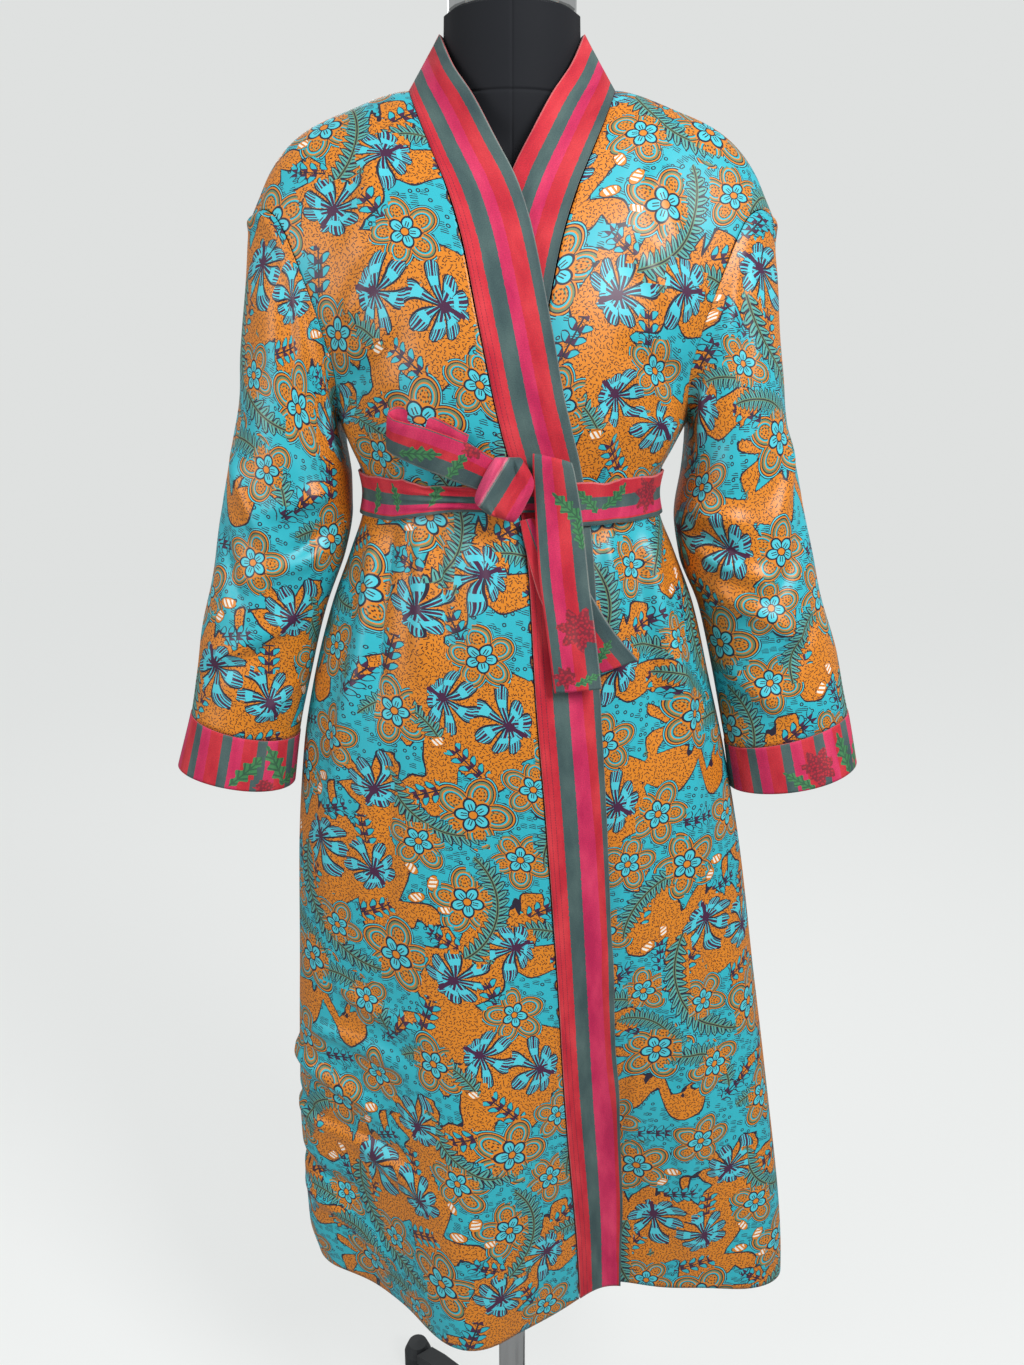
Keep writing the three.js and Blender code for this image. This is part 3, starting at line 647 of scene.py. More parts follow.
def cells(tree, place, size):
    """Random cells of a size in millimetres: offsets from the cell's middle, and a random value."""
    node = tree.nodes.new("ShaderNodeTexVoronoi")
    node.voronoi_dimensions = "2D"
    node.inputs["Scale"].default_value = 1 / size
    tree.links.new(place, node.inputs["Vector"])
    x, y, _ = split(tree, place)
    middle_x, middle_y, _ = split(tree, node.outputs["Position"])
    chance = split(tree, node.outputs["Color"])[0]
    return x - middle_x, y - middle_y, chance


ORANGE = colour(224, 134, 30)
ORANGE_DARK = colour(84, 44, 26)
TURQUOISE = colour(46, 184, 200)
TURQUOISE_LIGHT = colour(80, 206, 222)
TAUPE = colour(106, 134, 98)
INK = colour(38, 32, 52)
PLUM = colour(72, 30, 66)
LEAF_GREY = colour(88, 172, 164)
WHITE = colour(246, 242, 232)

# A flower's outlines from outside in: reach of its lobes, reach of its middle, colour
LOBES = 5
FLOWER_EDGES = (
    (0.43, 0.52, INK), (0.41, 0.5, TURQUOISE_LIGHT), (0.385, 0.46, INK), (0.36, 0.44, ORANGE),
)
# Rings in each lobe: inner and outer edge, how far from the flower's middle they begin, colour
LOBE_RINGS = (
    (0.3, 0.325, 0.3, INK), (0.255, 0.3, 0.4, TAUPE),
    (0.185, 0.225, 0.4, TURQUOISE), (0.165, 0.185, 0.4, INK),
)
PETALS = 8


def folded(radius, turn, offset):
    """A place folded into one lobe: along the lobe, and across it."""
    fold = abs((turn + offset).fraction() - 0.5) * (2 * math.pi / LOBES)
    return radius * fold.cosine(), radius * fold.sine()


def flower_colour(tree, place, under):
    """Five ringed lobes round a small blue flower; x and y run to 1 at the lobes' ends."""
    x, y, _ = place
    radius = length(x, y)
    turn = y.angle_from(x) / (2 * math.pi / LOBES)
    lobe_x, lobe_y = folded(radius, turn, 20.5)
    lobe = length((lobe_x - 0.52) * 0.9, lobe_y * 1.14)
    edges = [(lobe.less(reach).either(radius.less(middle)), tint) for reach, middle, tint in FLOWER_EDGES]
    rings = [(lobe.within(low, high) * lobe_x.more(start), tint) for low, high, start, tint in LOBE_RINGS]
    dashes = (lobe * 21 + turn * 60).sine().more(-0.1)
    specks = (lobe_x * 46 + lobe_y * 30).sine() * (lobe_y * 62 - lobe_x * 18).sine()
    petal_x, petal_y = folded(radius, turn, 20)
    petal = length((petal_x - 0.235) * 0.82, petal_y)
    return coats(
        tree, under, *edges, *rings,
        (lobe.within(0.095, 0.13) * dashes, TAUPE),
        (lobe.less(0.16) * specks.more(0.42), ORANGE_DARK),
        (petal.less(0.155).either(radius.less(0.18)), INK),
        (petal.less(0.114), TURQUOISE_LIGHT),
        (abs(petal_y - 0.03).less(0.012) * petal_x.within(0.13, 0.27), INK),
        (radius.less(0.12), INK),
        (radius.less(0.088), ORANGE),
    )


def lily_colour(tree, place, under):
    """Long petals in a fan, dark at the root and at the tips."""
    x, y, seed = place
    radius = length(x, y)
    facing = y.angle_from(x)
    turn = facing + 0.22 * (radius * 4 + facing * 2).sine() * radius
    share = turn / (2 * math.pi / PETALS) + 20
    fold = ((share + 0.5).fraction() - 0.5) * (2 * math.pi / PETALS) * 1.04
    number = (share + 0.5).floor()
    reach = 0.66 + 0.26 * facing.cosine() + 0.09 * (number * 1.9 + seed * 5).sine()
    along = radius / reach
    width = 0.025 + 0.205 * along.power(1.5) * (1.0 - along.power(5)).at_least(0).power(0.5)
    off = abs(radius * fold.sine() + 0.03 * (along * 3 + number).sine())
    inside = off.less(width) * along.less(1)
    strokes = (off * 115).sine().more(0) * along.more(0.66).either(along.less(0.46))
    stem = abs(y).less(0.045) * x.within(-0.42, 0.1)
    return coats(
        tree, under,
        (off.less(width + 0.036) * along.less(1.05), INK),
        (inside * off.less(width - 0.004), TURQUOISE_LIGHT),
        (inside * strokes * off.less(width - 0.01), PLUM),
        (length(x + 0.04, y).less(0.1).either(stem), PLUM),
    )


def feather_colour(tree, place, under):
    """A long curved leaf of slanting leaflets; along runs 0 to 1, across -1 to 1."""
    along, across, _ = place
    off = abs(across)
    ends = (along * 9).at_most((1.0 - along) * 6)
    depth = off / ends.at_most(1).at_least(0.02).power(0.5)
    share = along * 17 - off * 0.75 + across.more(0) * 0.5
    fold = abs(share.fraction() - 0.5)
    width = 0.4 * (1.0 - (depth * 1.02).at_most(1).power(4))
    inside = fold.less(width) * depth.less(1)
    return coats(
        tree, under,
        (fold.less(width + 0.11) * depth.less(1.08), INK),
        (inside * fold.less(width - 0.05), LEAF_GREY),
        (inside * fold.less(0.07) * depth.less(0.75), INK),
        (off.less(0.13), TAUPE),
        (off.less(0.05), INK),
    )


def sprig_colour(tree, place, under):
    """A stem with pairs of small leaves."""
    x, y, _ = place
    off = abs(y)
    share = x * 2.1 - off * 1.1 + 20
    fold = abs(share.fraction() - 0.5)
    width = 0.3 * (1.0 - (abs(off - 0.27) * 3.9).at_most(1).power(2))
    inside = fold.less(width) * off.within(0.04, 0.55)
    return coats(
        tree, under,
        (fold.less(width + 0.09) * off.within(0.02, 0.58) * width.more(0.01), INK),
        (inside * fold.less(width - 0.02), TURQUOISE),
        (inside * off.less(0.2), PLUM),
        (off.less(0.035) * x.within(-0.9, 0.75), INK),
    )


def pod_colour(tree, place, under):
    """A small outlined pod with a few white dashes."""
    x, y, _ = place
    shape = length(x, y * 1.7)
    dash = (x * 13 + y * 6).sine().more(-0.2) * abs(y).less(0.36) * abs(x).less(0.55)
    return coats(tree, under, (shape.less(0.95), INK), (shape.less(0.86), ORANGE), (dash, WHITE))


# The kinds of printed motif are numbered from 1
PRINT_KINDS = (flower_colour, lily_colour, feather_colour, sprig_colour, pod_colour)
FLOWER, LILY, FEATHER, SPRIG, POD, WOVEN_LEAF, WOVEN_BLOSSOM = range(1, 8)


def is_kind(kind, number):
    return kind.within(number - 0.5, number + 0.5)


def print_material():
    material, tree, shader = new_material("printed satin", 0.42, 0.05)
    flat = attribute(tree, "flat")["Vector"]
    kind = Wire(tree, attribute(tree, "kind")["Fac"])
    ground = Wire(tree, attribute(tree, "ground")["Fac"])
    place = split(tree, attribute(tree, "motif")["Vector"])

    dash_x, dash_y, chance = cells(tree, flat, 3.0)
    angle = chance * 6.3
    cosine, sine = angle.cosine(), angle.sine()
    long = abs(dash_x * cosine + dash_y * sine)
    wide = abs(dash_y * cosine - dash_x * sine)
    orange_ground = blend(tree, long.less(1.2) * wide.less(0.4), ORANGE, ORANGE_DARK)

    ring_x, ring_y, chance = cells(tree, flat, 8.6)
    circle = length(ring_x, ring_y).within(1, 2) * chance.less(0.42)
    lines = (ring_y * 0.5 + ring_x * 0.12 + 20).fraction().less(0.4)
    stroke = abs(ring_y).less(2.6) * abs(ring_x).less(3.4) * lines * chance.more(0.42)
    pool = blend(tree, circle.either(stroke), TURQUOISE, INK)

    tint = coats(tree, orange_ground, (ground.more(0), pool), (abs(ground).less(0.95), INK))
    for number, motif in enumerate(PRINT_KINDS, 1):
        tint = blend(tree, is_kind(kind, number), tint, motif(tree, place, tint))
    tree.links.new(tint, shader["Base Color"])
    return material


PRINT = print_material()

# The print's repeat, charted in millimetres on the flat cloth
REPEAT = (330, 380)
FLOWERS = table(
    "x y size turn",
    (52, 46, 43, 10), (122, 18, 35, 40), (168, 80, 45, 5), (98, 98, 34, 60), (26, 122, 32, 30),
    (248, 150, 41, 20), (304, 196, 35, 50), (206, 212, 35, 15), (262, 244, 44, 66), (322, 272, 33, 8),
    (60, 262, 42, 44), (120, 308, 35, 12), (20, 322, 37, 70), (196, 344, 38, 30), (284, 22, 35, 25),
)
LILIES = table(
    "x y size turn",
    (228, 64, 48, 35), (290, 98, 44, 200), (92, 196, 48, 290), (152, 172, 43, 120),
    (164, 262, 44, 60), (304, 336, 46, 150), (246, 362, 42, 330),
)
# Feather leaves lie along arcs: the arc's middle, its radius, start and end in degrees, half-width
FEATHERS = table(
    "x y radius start end half",
    (150, 150, 92, 160, 268, 13),
    (208, 150, 70, -70, 44, 12),
    (60, 190, 64, 70, 182, 12),
    (250, 290, 68, 184, 296, 12),
    (84, 356, 62, 12, 120, 12),
    (316, 62, 56, 52, 160, 11),
    (10, 20, 70, 20, 96, 11),
    (190, 300, 52, 20, 130, 11),
)
SPRIGS = table(
    "x y size turn",
    (196, 22, 24, 70), (150, 128, 22, 20), (262, 52, 21, 110), (14, 78, 22, 150), (74, 148, 21, 60),
    (214, 262, 22, 200), (148, 216, 21, 95), (68, 312, 21, 10), (156, 372, 23, 45), (262, 298, 21, 130),
    (14, 226, 22, 80), (322, 140, 22, 30), (40, 160, 20, 100), (222, 106, 20, 150), (112, 232, 20, 20),
)
PODS = table(
    "x y size turn",
    (198, 150, 10, 20), (216, 168, 10, 70), (196, 182, 9, 130), (226, 140, 9, 0),
    (24, 174, 10, 40), (40, 190, 9, 100), (100, 262, 10, 10), (92, 246, 9, 60), (236, 318, 9, 20),
)
# Turquoise pools: a star with hollow sides, its points, how hollow, its stretch and turn
POOLS = table(
    "x y size points hollow stretch turn",
    (88, 62, 80, 7, 0.40, 1.3, 15),
    (146, 44, 62, 6, 0.42, 1.2, 40),
    (274, 206, 82, 8, 0.38, 1.25, 60),
    (228, 180, 60, 6, 0.44, 1.3, 100),
    (64, 292, 80, 8, 0.40, 1.2, 130),
    (150, 330, 64, 7, 0.42, 1.3, 20),
    (22, 134, 48, 5, 0.46, 1.2, 70),
    (300, 36, 48, 6, 0.44, 1.2, 0),
    (200, 108, 20, 5, 0.5, 1.4, 30),
    (130, 240, 19, 4, 0.5, 1.5, 110),
    (316, 228, 22, 5, 0.5, 1.3, 160),
    (208, 296, 20, 4, 0.5, 1.6, 60),
)
# Long curved fingers that run out of the pools: start, bend, tip, and width at the start
FINGERS = table(
    "x0 y0 x1 y1 x2 y2 width",
    (88, 40, 78, 10, 92, -22, 9), (104, 40, 104, 8, 122, -12, 8), (66, 44, 46, 22, 48, -8, 8),
    (60, 52, 34, 34, 22, 12, 7), (120, 50, 142, 30, 146, 6, 7),
    (274, 176, 262, 150, 276, 120, 9), (290, 180, 300, 156, 296, 132, 8), (258, 180, 240, 160, 236, 130, 8),
    (64, 262, 50, 236, 60, 208, 9), (84, 270, 96, 240, 88, 222, 8), (44, 272, 26, 256, 20, 230, 8),
)

# How far a motif's ground reaches past its size, and when a feather may cover another motif
MOTIF_REACH = 1.06
FEATHER_REACH = 1.15
FEATHER_OVER = 0.55
FAR = -1e3


def offsets(x, y, from_x, from_y):
    """How far places are from the nearest repeat of one place."""
    return wrapped(x - from_x, REPEAT[0]), wrapped(y - from_y, REPEAT[1])


def turned(x, y, degrees):
    turn = math.radians(degrees)
    return x * math.cos(turn) + y * math.sin(turn), y * math.cos(turn) - x * math.sin(turn)


def star_distance(x, y, row):
    """Millimetres inside a star with hollow sides; negative outside."""
    px, py = turned(x, y, row["turn"])
    px = px / row["stretch"]
    angle = np.arctan2(py, px)
    wave = np.abs(np.sin(angle * row["points"] / 2 + 0.4 * np.sin(angle + row["turn"])))
    return row["size"] * (1 - row["hollow"] * wave**0.7) - np.hypot(px, py)


def finger_distance(x, y, row):
    """Millimetres inside a tapering curved finger."""
    best = np.full(x.shape, FAR)
    for t in np.linspace(0, 1, 9):
        spine = ((1 - t) ** 2 * row[f"{axis}0"] + 2 * t * (1 - t) * row[f"{axis}1"] + t * t * row[f"{axis}2"]
                 for axis in "xy")
        best = np.maximum(best, row["width"] * (1 - t) ** 0.8 - np.hypot(*offsets(x, y, *spine)))
    return best


def rows_of(columns):
    return [dict(zip(columns, values)) for values in zip(*columns.values())]


def motif_values(xs, ys, local, kind):
    """The attributes that both cloths have: flat place, place in the motif, kind of motif."""
    kinds = np.repeat(kind[..., None], len(CORNERS), axis=-1)
    return {"flat": np.stack([xs, ys], axis=-1), "motif": local, "kind": kinds[..., None]}


def print_values(across, up, shift):
    """The print on a grid of flat places, as grids of per-face-corner values."""
    across, up = across + shift[0], up + shift[1]
    ground = np.full(across.shape, FAR)
    for row in rows_of(POOLS):
        ground = np.maximum(ground, star_distance(*offsets(across, up, row["x"], row["y"]), row))
    for row in rows_of(FINGERS):
        ground = np.maximum(ground, finger_distance(across, up, row))

    xs, ys = corner_values(across), corner_values(up)
    middle_x, middle_y = xs.mean(axis=-1), ys.mean(axis=-1)
    best, kind = np.ones(middle_x.shape), np.zeros(middle_x.shape)
    local = np.zeros((*xs.shape, 3))
    for number, rows in ((FLOWER, FLOWERS), (LILY, LILIES), (SPRIG, SPRIGS), (POD, PODS)):
        for row in rows_of(rows):
            dx, dy = offsets(middle_x, middle_y, row["x"], row["y"])
            away = np.hypot(dx, dy) / (row["size"] * MOTIF_REACH)
            own = away < best
            best, kind = np.where(own, away, best), np.where(own, number, kind)
            px = (xs - middle_x[..., None] + dx[..., None]) / row["size"]
            py = (ys - middle_y[..., None] + dy[..., None]) / row["size"]
            seed = np.full(px.shape, (row["x"] * 0.37 + row["y"] * 0.11) % 1)
            mine = np.stack([*turned(px, py, row["turn"]), seed], axis=-1)
            local = np.where(own[..., None, None], mine, local)
    for row in rows_of(FEATHERS):
        dx, dy = offsets(middle_x, middle_y, row["x"], row["y"])
        px = xs - middle_x[..., None] + dx[..., None]
        py = ys - middle_y[..., None] + dy[..., None]
        off_centre = wrapped(np.degrees(np.arctan2(py, px)) - (row["start"] + row["end"]) / 2, 360)
        along = off_centre / (row["end"] - row["start"]) + 0.5
        side = (np.hypot(px, py) - row["radius"]) / row["half"]
        middle_along, middle_side = along.mean(axis=-1), side.mean(axis=-1)
        away = np.maximum(np.abs(middle_side) / FEATHER_REACH, np.abs(middle_along - 0.5) * 2)
        own = (away < 1) & ((best > FEATHER_OVER) | (kind == SPRIG))
        best, kind = np.where(own, 0.5 * away, best), np.where(own, FEATHER, kind)
        local = np.where(own[..., None, None], np.stack([along, side, 0 * along], axis=-1), local)
    return {**motif_values(xs, ys, local, kind), "ground": corner_values(ground)[..., None]}


# Velvet stripes: 0 red, 1 teal, 2 magenta, 3 red, 4 teal, 5 pink, 6 deep red
STRIPES = (
    colour(220, 10, 42), colour(62, 94, 92), colour(222, 16, 90), colour(214, 8, 38),
    colour(58, 88, 88), colour(224, 56, 110), colour(150, 12, 36),
)
LEAF = colour(58, 142, 80)
LEAF_DARK = colour(28, 84, 56)
BLOSSOM = colour(196, 16, 44)
BLOSSOM_DARK = colour(122, 14, 36)


def velvet_material():
    material, tree, shader = new_material("striped velvet", 0.85, 0.12)
    shader["Sheen Roughness"].default_value = 0.35
    flat = attribute(tree, "flat")["Vector"]
    stripe = Wire(tree, attribute(tree, "stripe")["Fac"])
    kind = Wire(tree, attribute(tree, "kind")["Fac"])
    x, y, sewn = split(tree, attribute(tree, "motif")["Vector"])
    along = split(tree, flat)[1]

    def noise(scale, detail, stretch):
        mapping = tree.nodes.new("ShaderNodeMapping")
        mapping.inputs["Scale"].default_value = (1, stretch, 1)
        tree.links.new(flat, mapping.inputs["Vector"])
        node = tree.nodes.new("ShaderNodeTexNoise")
        node.inputs["Scale"].default_value = scale
        node.inputs["Detail"].default_value = detail
        tree.links.new(mapping.outputs[0], node.inputs["Vector"])
        return Wire(tree, node.outputs["Fac"])

    ragged = noise(0.5, 3, 0.6)
    ramp = tree.nodes.new("ShaderNodeValToRGB")
    ramp.color_ramp.interpolation = "CONSTANT"
    while len(ramp.color_ramp.elements) < len(STRIPES):
        ramp.color_ramp.elements.new(0.5)
    for i, (element, tint) in enumerate(zip(ramp.color_ramp.elements, STRIPES)):
        element.position = i / len(STRIPES)
        element.color = tint
    place = (stripe + (ragged - 0.5) * 0.14) / len(STRIPES)
    tree.links.new(place.socket, ramp.inputs[0])

    rib = abs(y)
    serrated = 0.36 * (1.0 - (abs(x) * 1.02).at_most(1).power(2)) * (0.72 + 0.28 * (x * 15).sine())
    veins = (x * 22 - rib * 26).sine().more(0.35).either(rib.less(0.03))
    leaf_tint = blend(tree, veins * 0.75, LEAF, LEAF_DARK)
    blossom_edge = 0.72 + 0.16 * (y.angle_from(x) * 7).sine() + (ragged - 0.5) * 0.3
    scales_x, scales_y, _ = cells(tree, flat, 3.2)
    blossom_tint = blend(tree, length(scales_x, scales_y).more(1.15) * 0.8, BLOSSOM, BLOSSOM_DARK)
    tint = coats(
        tree, ramp.outputs["Color"],
        (rib.less(serrated) * is_kind(kind, WOVEN_LEAF), leaf_tint),
        (length(x, y).less(blossom_edge) * is_kind(kind, WOVEN_BLOSSOM), blossom_tint),
    )

    cloud = ((noise(0.045, 4, 0.35) - 0.34) / 0.34).clamped()
    pile = noise(0.9, 2, 1)
    # The outermost stripes' edges are blended a little toward white: a painted highlight where the pile bends
    # over the rolled edge
    edge = stripe.less(0.07).either(stripe.within(4.9, 5.1))
    tint = coats(tree, tint, (cloud * 0.16, blend(tree, 0.3, tint, WHITE)), (edge * 0.15, WHITE))
    stitch = abs(abs(stripe - 0.46) - 0.14).less(0.022) * (along * 0.36).fraction().less(0.72)
    dark = (1.0 - cloud) * 0.35 + (pile - 0.5) * 0.7 + stitch * sewn.more(0.5) * 0.5
    tree.links.new(blend(tree, dark.clamped(), tint, INK), shader["Base Color"])
    bump = tree.nodes.new("ShaderNodeBump")
    bump.inputs["Strength"].default_value = 0.35
    bump.inputs["Distance"].default_value = 0.0008
    tree.links.new(pile.socket, bump.inputs["Height"])
    tree.links.new(bump.outputs[0], shader["Normal"])
    return material


VELVET_PILE = velvet_material()

# Where the stripes change across the band, from the hem (at 0) to the shoulder (at 1)
STRIPE_COLUMNS = "at e1 e2 e3 e4"
BAND_STRIPES = table(
    STRIPE_COLUMNS,
    (0, 0.29, 0.54, 0.93, 0.96), (0.2, 0.28, 0.52, 0.84, 0.93), (0.4, 0.26, 0.49, 0.67, 0.87),
    (0.6, 0.23, 0.46, 0.63, 0.85), (0.8, 0.19, 0.42, 0.6, 0.81), (1, 0.17, 0.4, 0.6, 0.8),
)


def even_stripes(*edges):
    """Stripes that keep their widths all along."""
    return table(STRIPE_COLUMNS, (0, *edges), (1, *edges))


UNDER_BAND_STRIPES = even_stripes(0.25, 0.45, 0.62, 0.85)
NECK_STRIPES = even_stripes(0.17, 0.4, 0.6, 0.8)
BELT_STRIPES = even_stripes(0.34, 0.64, 0.88, 0.881)
BOW_STRIPES = even_stripes(0.001, 0.002, 0.36, 0.58)
TAIL_FRONT_STRIPES = even_stripes(0.001, 0.22, 0.47, 0.72)
TAIL_REAR_STRIPES = even_stripes(0.3, 0.31, 0.55, 0.7)
LAST_STRIPE = 4.99


def stripe_value(across, along, edges):
    """0 to 5 across the stripes, whole numbers at the joins."""
    marks = [np.zeros_like(along), *(read(edges, along, f"e{i}") for i in (1, 2, 3, 4)), np.ones_like(along)]
    value = np.zeros(across.shape)
    for low, high in zip(marks, marks[1:]):
        value += np.clip((across - low) / np.maximum(high - low, 1e-4), 0, 1)
    return np.minimum(value, LAST_STRIPE)


def velvet_values(stripe, across, up, motifs=(), sewn=0.0):
    """Stripes and woven motifs on a grid of flat places, in millimetres."""
    xs, ys = corner_values(across), corner_values(up)
    middle_x, middle_y = xs.mean(axis=-1), ys.mean(axis=-1)
    kind, best = np.zeros(middle_x.shape), np.ones(middle_x.shape)
    local = np.zeros((*xs.shape, 3))
    local[..., 2] = sewn
    for number, x, y, size, turn in motifs:
        away = np.hypot(middle_x - x, middle_y - y) / size
        own = away < best
        best, kind = np.where(own, away, best), np.where(own, number, kind)
        px, py = (xs - x) / size, (ys - y) / size
        mine = np.stack([*turned(px, py, turn), 0 * px], axis=-1)
        local = np.where(own[..., None, None], mine, local)
    return {**motif_values(xs, ys, local, kind), "stripe": corner_values(stripe)[..., None]}


PANEL_LEVELS = np.concatenate([
    level_of(np.linspace(HEM, UNDERARM, 198)),
    2 - np.linspace(1, LEAST_DROP, 62)[1:],
])


def lay_body(name, points, lift, thickness, materials, values, closed=False):
    """A wall of cloth on a surface: lift is how far its inner side stands off it."""
    normal = grid_normals(points, closed)
    lift = lift[..., None] if np.ndim(lift) else lift
    inner = points + normal * lift
    outer = inner + normal * thickness
    return shell(name, outer, inner, closed, materials, values)


def lap_lift(points):
    return LAP_LIFT * lap(points[..., 0], points[..., 2])


# Creases seen from the front or the back: ends, sideways bend, depth (ridge above 0), half-width
CREASE_COLUMNS = "x0 z0 x1 z1 bend depth width"
FRONT_CREASES = table(
    CREASE_COLUMNS,
    (-128, 1335, -168, 1090, 8, 3.2, 13), (-104, 1330, -128, 1130, -6, -2.6, 11),
    (-82, 1328, -88, 1170, 5, 2.4, 10), (-60, 1326, -58, 1200, -4, -2, 9),
    (-36, 1324, -30, 1180, 4, 1.8, 9), (128, 1335, 178, 1110, -9, 3.4, 13),
    (108, 1330, 142, 1080, 8, -2.8, 12), (90, 1328, 110, 1150, -5, 2.4, 10),
    (150, 1220, 196, 930, 6, 2.8, 14), (-150, 1180, -196, 880, -8, 2.6, 15),
    (-120, 1120, -140, 860, 9, -2.2, 15), (-122, 1352, -150, 1430, 5, 2.6, 10),
    (-96, 1354, -112, 1450, -5, -2.2, 9), (-70, 1356, -82, 1440, 4, 1.8, 8),
    (120, 1352, 150, 1440, -5, 2.6, 10), (98, 1354, 116, 1460, 5, -2.2, 9),
    (76, 1356, 84, 1430, -3, 1.8, 8), (-148, 1500, -98, 1560, 6, 2.4, 13),
    (-156, 1450, -84, 1500, -8, -2, 12), (148, 1500, 96, 1570, -6, 2.2, 13),
    (158, 1455, 88, 1490, 8, -2, 12), (-120, 1640, -150, 1540, 5, 2, 14),
    (122, 1640, 152, 1550, -5, 2, 14), (-292, 712, -130, 668, 16, 3.6, 12),
    (-285, 664, -96, 640, -12, -3.2, 11), (-262, 640, -66, 592, 14, 3.2, 12),
    (-296, 590, -150, 556, -10, -2.8, 12), (-230, 760, -92, 742, 10, 2.6, 12),
    (-250, 530, -120, 470, 12, 2.6, 14), (-190, 830, -60, 800, -9, 2, 13),
    (150, 860, 226, 560, 10, 3, 17), (118, 760, 150, 470, -8, -2.6, 16), (182, 700, 206, 440, 5, 3, 15),
    (96, 900, 112, 640, 5, 2.2, 14), (210, 900, 238, 700, -6, -2.4, 13), (20, 960, -20, 760, 8, -1.8, 18),
    (-10, 700, -60, 500, -8, 2.2, 18),
)
BACK_CREASES = table(
    CREASE_COLUMNS,
    (-118, 1330, -160, 1110, 8, 3, 13), (-90, 1328, -110, 1120, -6, -2.6, 11),
    (-60, 1326, -66, 1160, 5, 2.4, 10), (-30, 1326, -24, 1190, -4, -2, 10),
    (4, 1326, 8, 1150, 4, 2.2, 11), (36, 1328, 44, 1200, -4, -2.2, 10), (66, 1328, 82, 1130, 5, 2.6, 11),
    (98, 1330, 124, 1140, -6, -2.4, 11), (126, 1334, 166, 1080, 8, 2.8, 13),
    (-110, 1356, -138, 1450, 5, 2.6, 10), (-74, 1356, -90, 1470, -4, -2.2, 10),
    (-36, 1356, -42, 1440, 3, 2, 9), (6, 1356, 10, 1460, -3, -1.8, 9), (44, 1356, 56, 1450, 4, 2.2, 9),
    (84, 1356, 102, 1470, -4, -2.2, 10), (118, 1354, 146, 1440, 5, 2.6, 10),
    (-150, 1500, -60, 1540, 10, 2.4, 14), (150, 1490, 70, 1530, -10, 2.2, 14),
    (-60, 1620, 60, 1612, -14, -2, 14), (-230, 720, -90, 690, 12, 2.6, 14),
    (90, 640, 240, 600, -12, 2.6, 14), (-170, 900, -206, 620, 8, 2.8, 16),
    (-40, 960, -52, 640, -6, -2.4, 17), (60, 900, 84, 560, 7, 2.8, 17), (170, 860, 214, 560, -8, 2.8, 16),
    (10, 760, 16, 470, 5, 2.2, 16),
)


# The tables' depths are raised by these factors
BODY_GAIN, SLEEVE_GAIN = 2.2, 2.1
# How high the cloth is calmer at the belt and by how much, and where it lies still towards the neck
CALM_HEIGHT, CALM_SHARE = 34, 0.75
STILL_TOP, STILL_FADE = 1676, 50
# The cloth hangs looser from this height down; the front's creases give way to the back's at the sides
LOOSE_TOP, LOOSE_FADE = 1180, 500
SIDE_Y, SIDE_FADE = 30, 60


def along_line(u, v, span_u, span_v):
    """A place against a line from (0, 0): its share of the way along, and how far off the line it is."""
    span = math.hypot(span_u, span_v)
    return (u * span_u + v * span_v) / span**2, (v * span_u - u * span_v) / span


def crease_fade(t, rise, start):
    return smooth(t / rise + start) * smooth((1 - t) / 0.35 + 0.1) * (t > -0.1) * (t < 1.05)


def crease_depth(rows, x, z):
    """How far the creases push a surface out at each place."""
    total = np.zeros(np.shape(x))
    for row in rows_of(rows):
        span = row["x1"] - row["x0"], row["z1"] - row["z0"]
        t, off = along_line(x - row["x0"], z - row["z0"], *span)
        off = off - row["bend"] * 4 * t * (1 - t)
        width = row["width"] * (0.6 + 0.5 * np.clip(t, 0, 1))
        total += BODY_GAIN * row["depth"] * crease_fade(t, 0.3, 0.25) * np.exp(-((off / width) ** 2))
    return total


def ripples(x, z, phase):
    """Slow unevenness of hanging cloth, stronger towards the hem."""
    low = smooth((LOOSE_TOP - z) / LOOSE_FADE)
    wave = 1.3 * np.sin(x / 31 + z / 90 + phase) + 0.9 * np.sin(x / 17 - z / 140 + 2.1 * phase)
    return wave * (0.25 + 0.9 * low)


def creased(points, closed=False):
    """A body surface with the creases of its side of the robe, calmer at the waist and the neck."""
    x, y, z = points[..., 0], points[..., 1], points[..., 2]
    front = smooth((SIDE_Y - y) / SIDE_FADE)
    front_push = crease_depth(FRONT_CREASES, x, z) + ripples(x, z, 0.4)
    back_push = crease_depth(BACK_CREASES, x, z) + ripples(x, z, 1.9)
    calm = 1 - CALM_SHARE * np.exp(-(((z - WAIST) / CALM_HEIGHT) ** 2))
    still = smooth((STILL_TOP - z) / STILL_FADE)
    push = (front * front_push + (1 - front) * back_push) * (calm * still)
    return points + grid_normals(points, closed) * push[..., None]


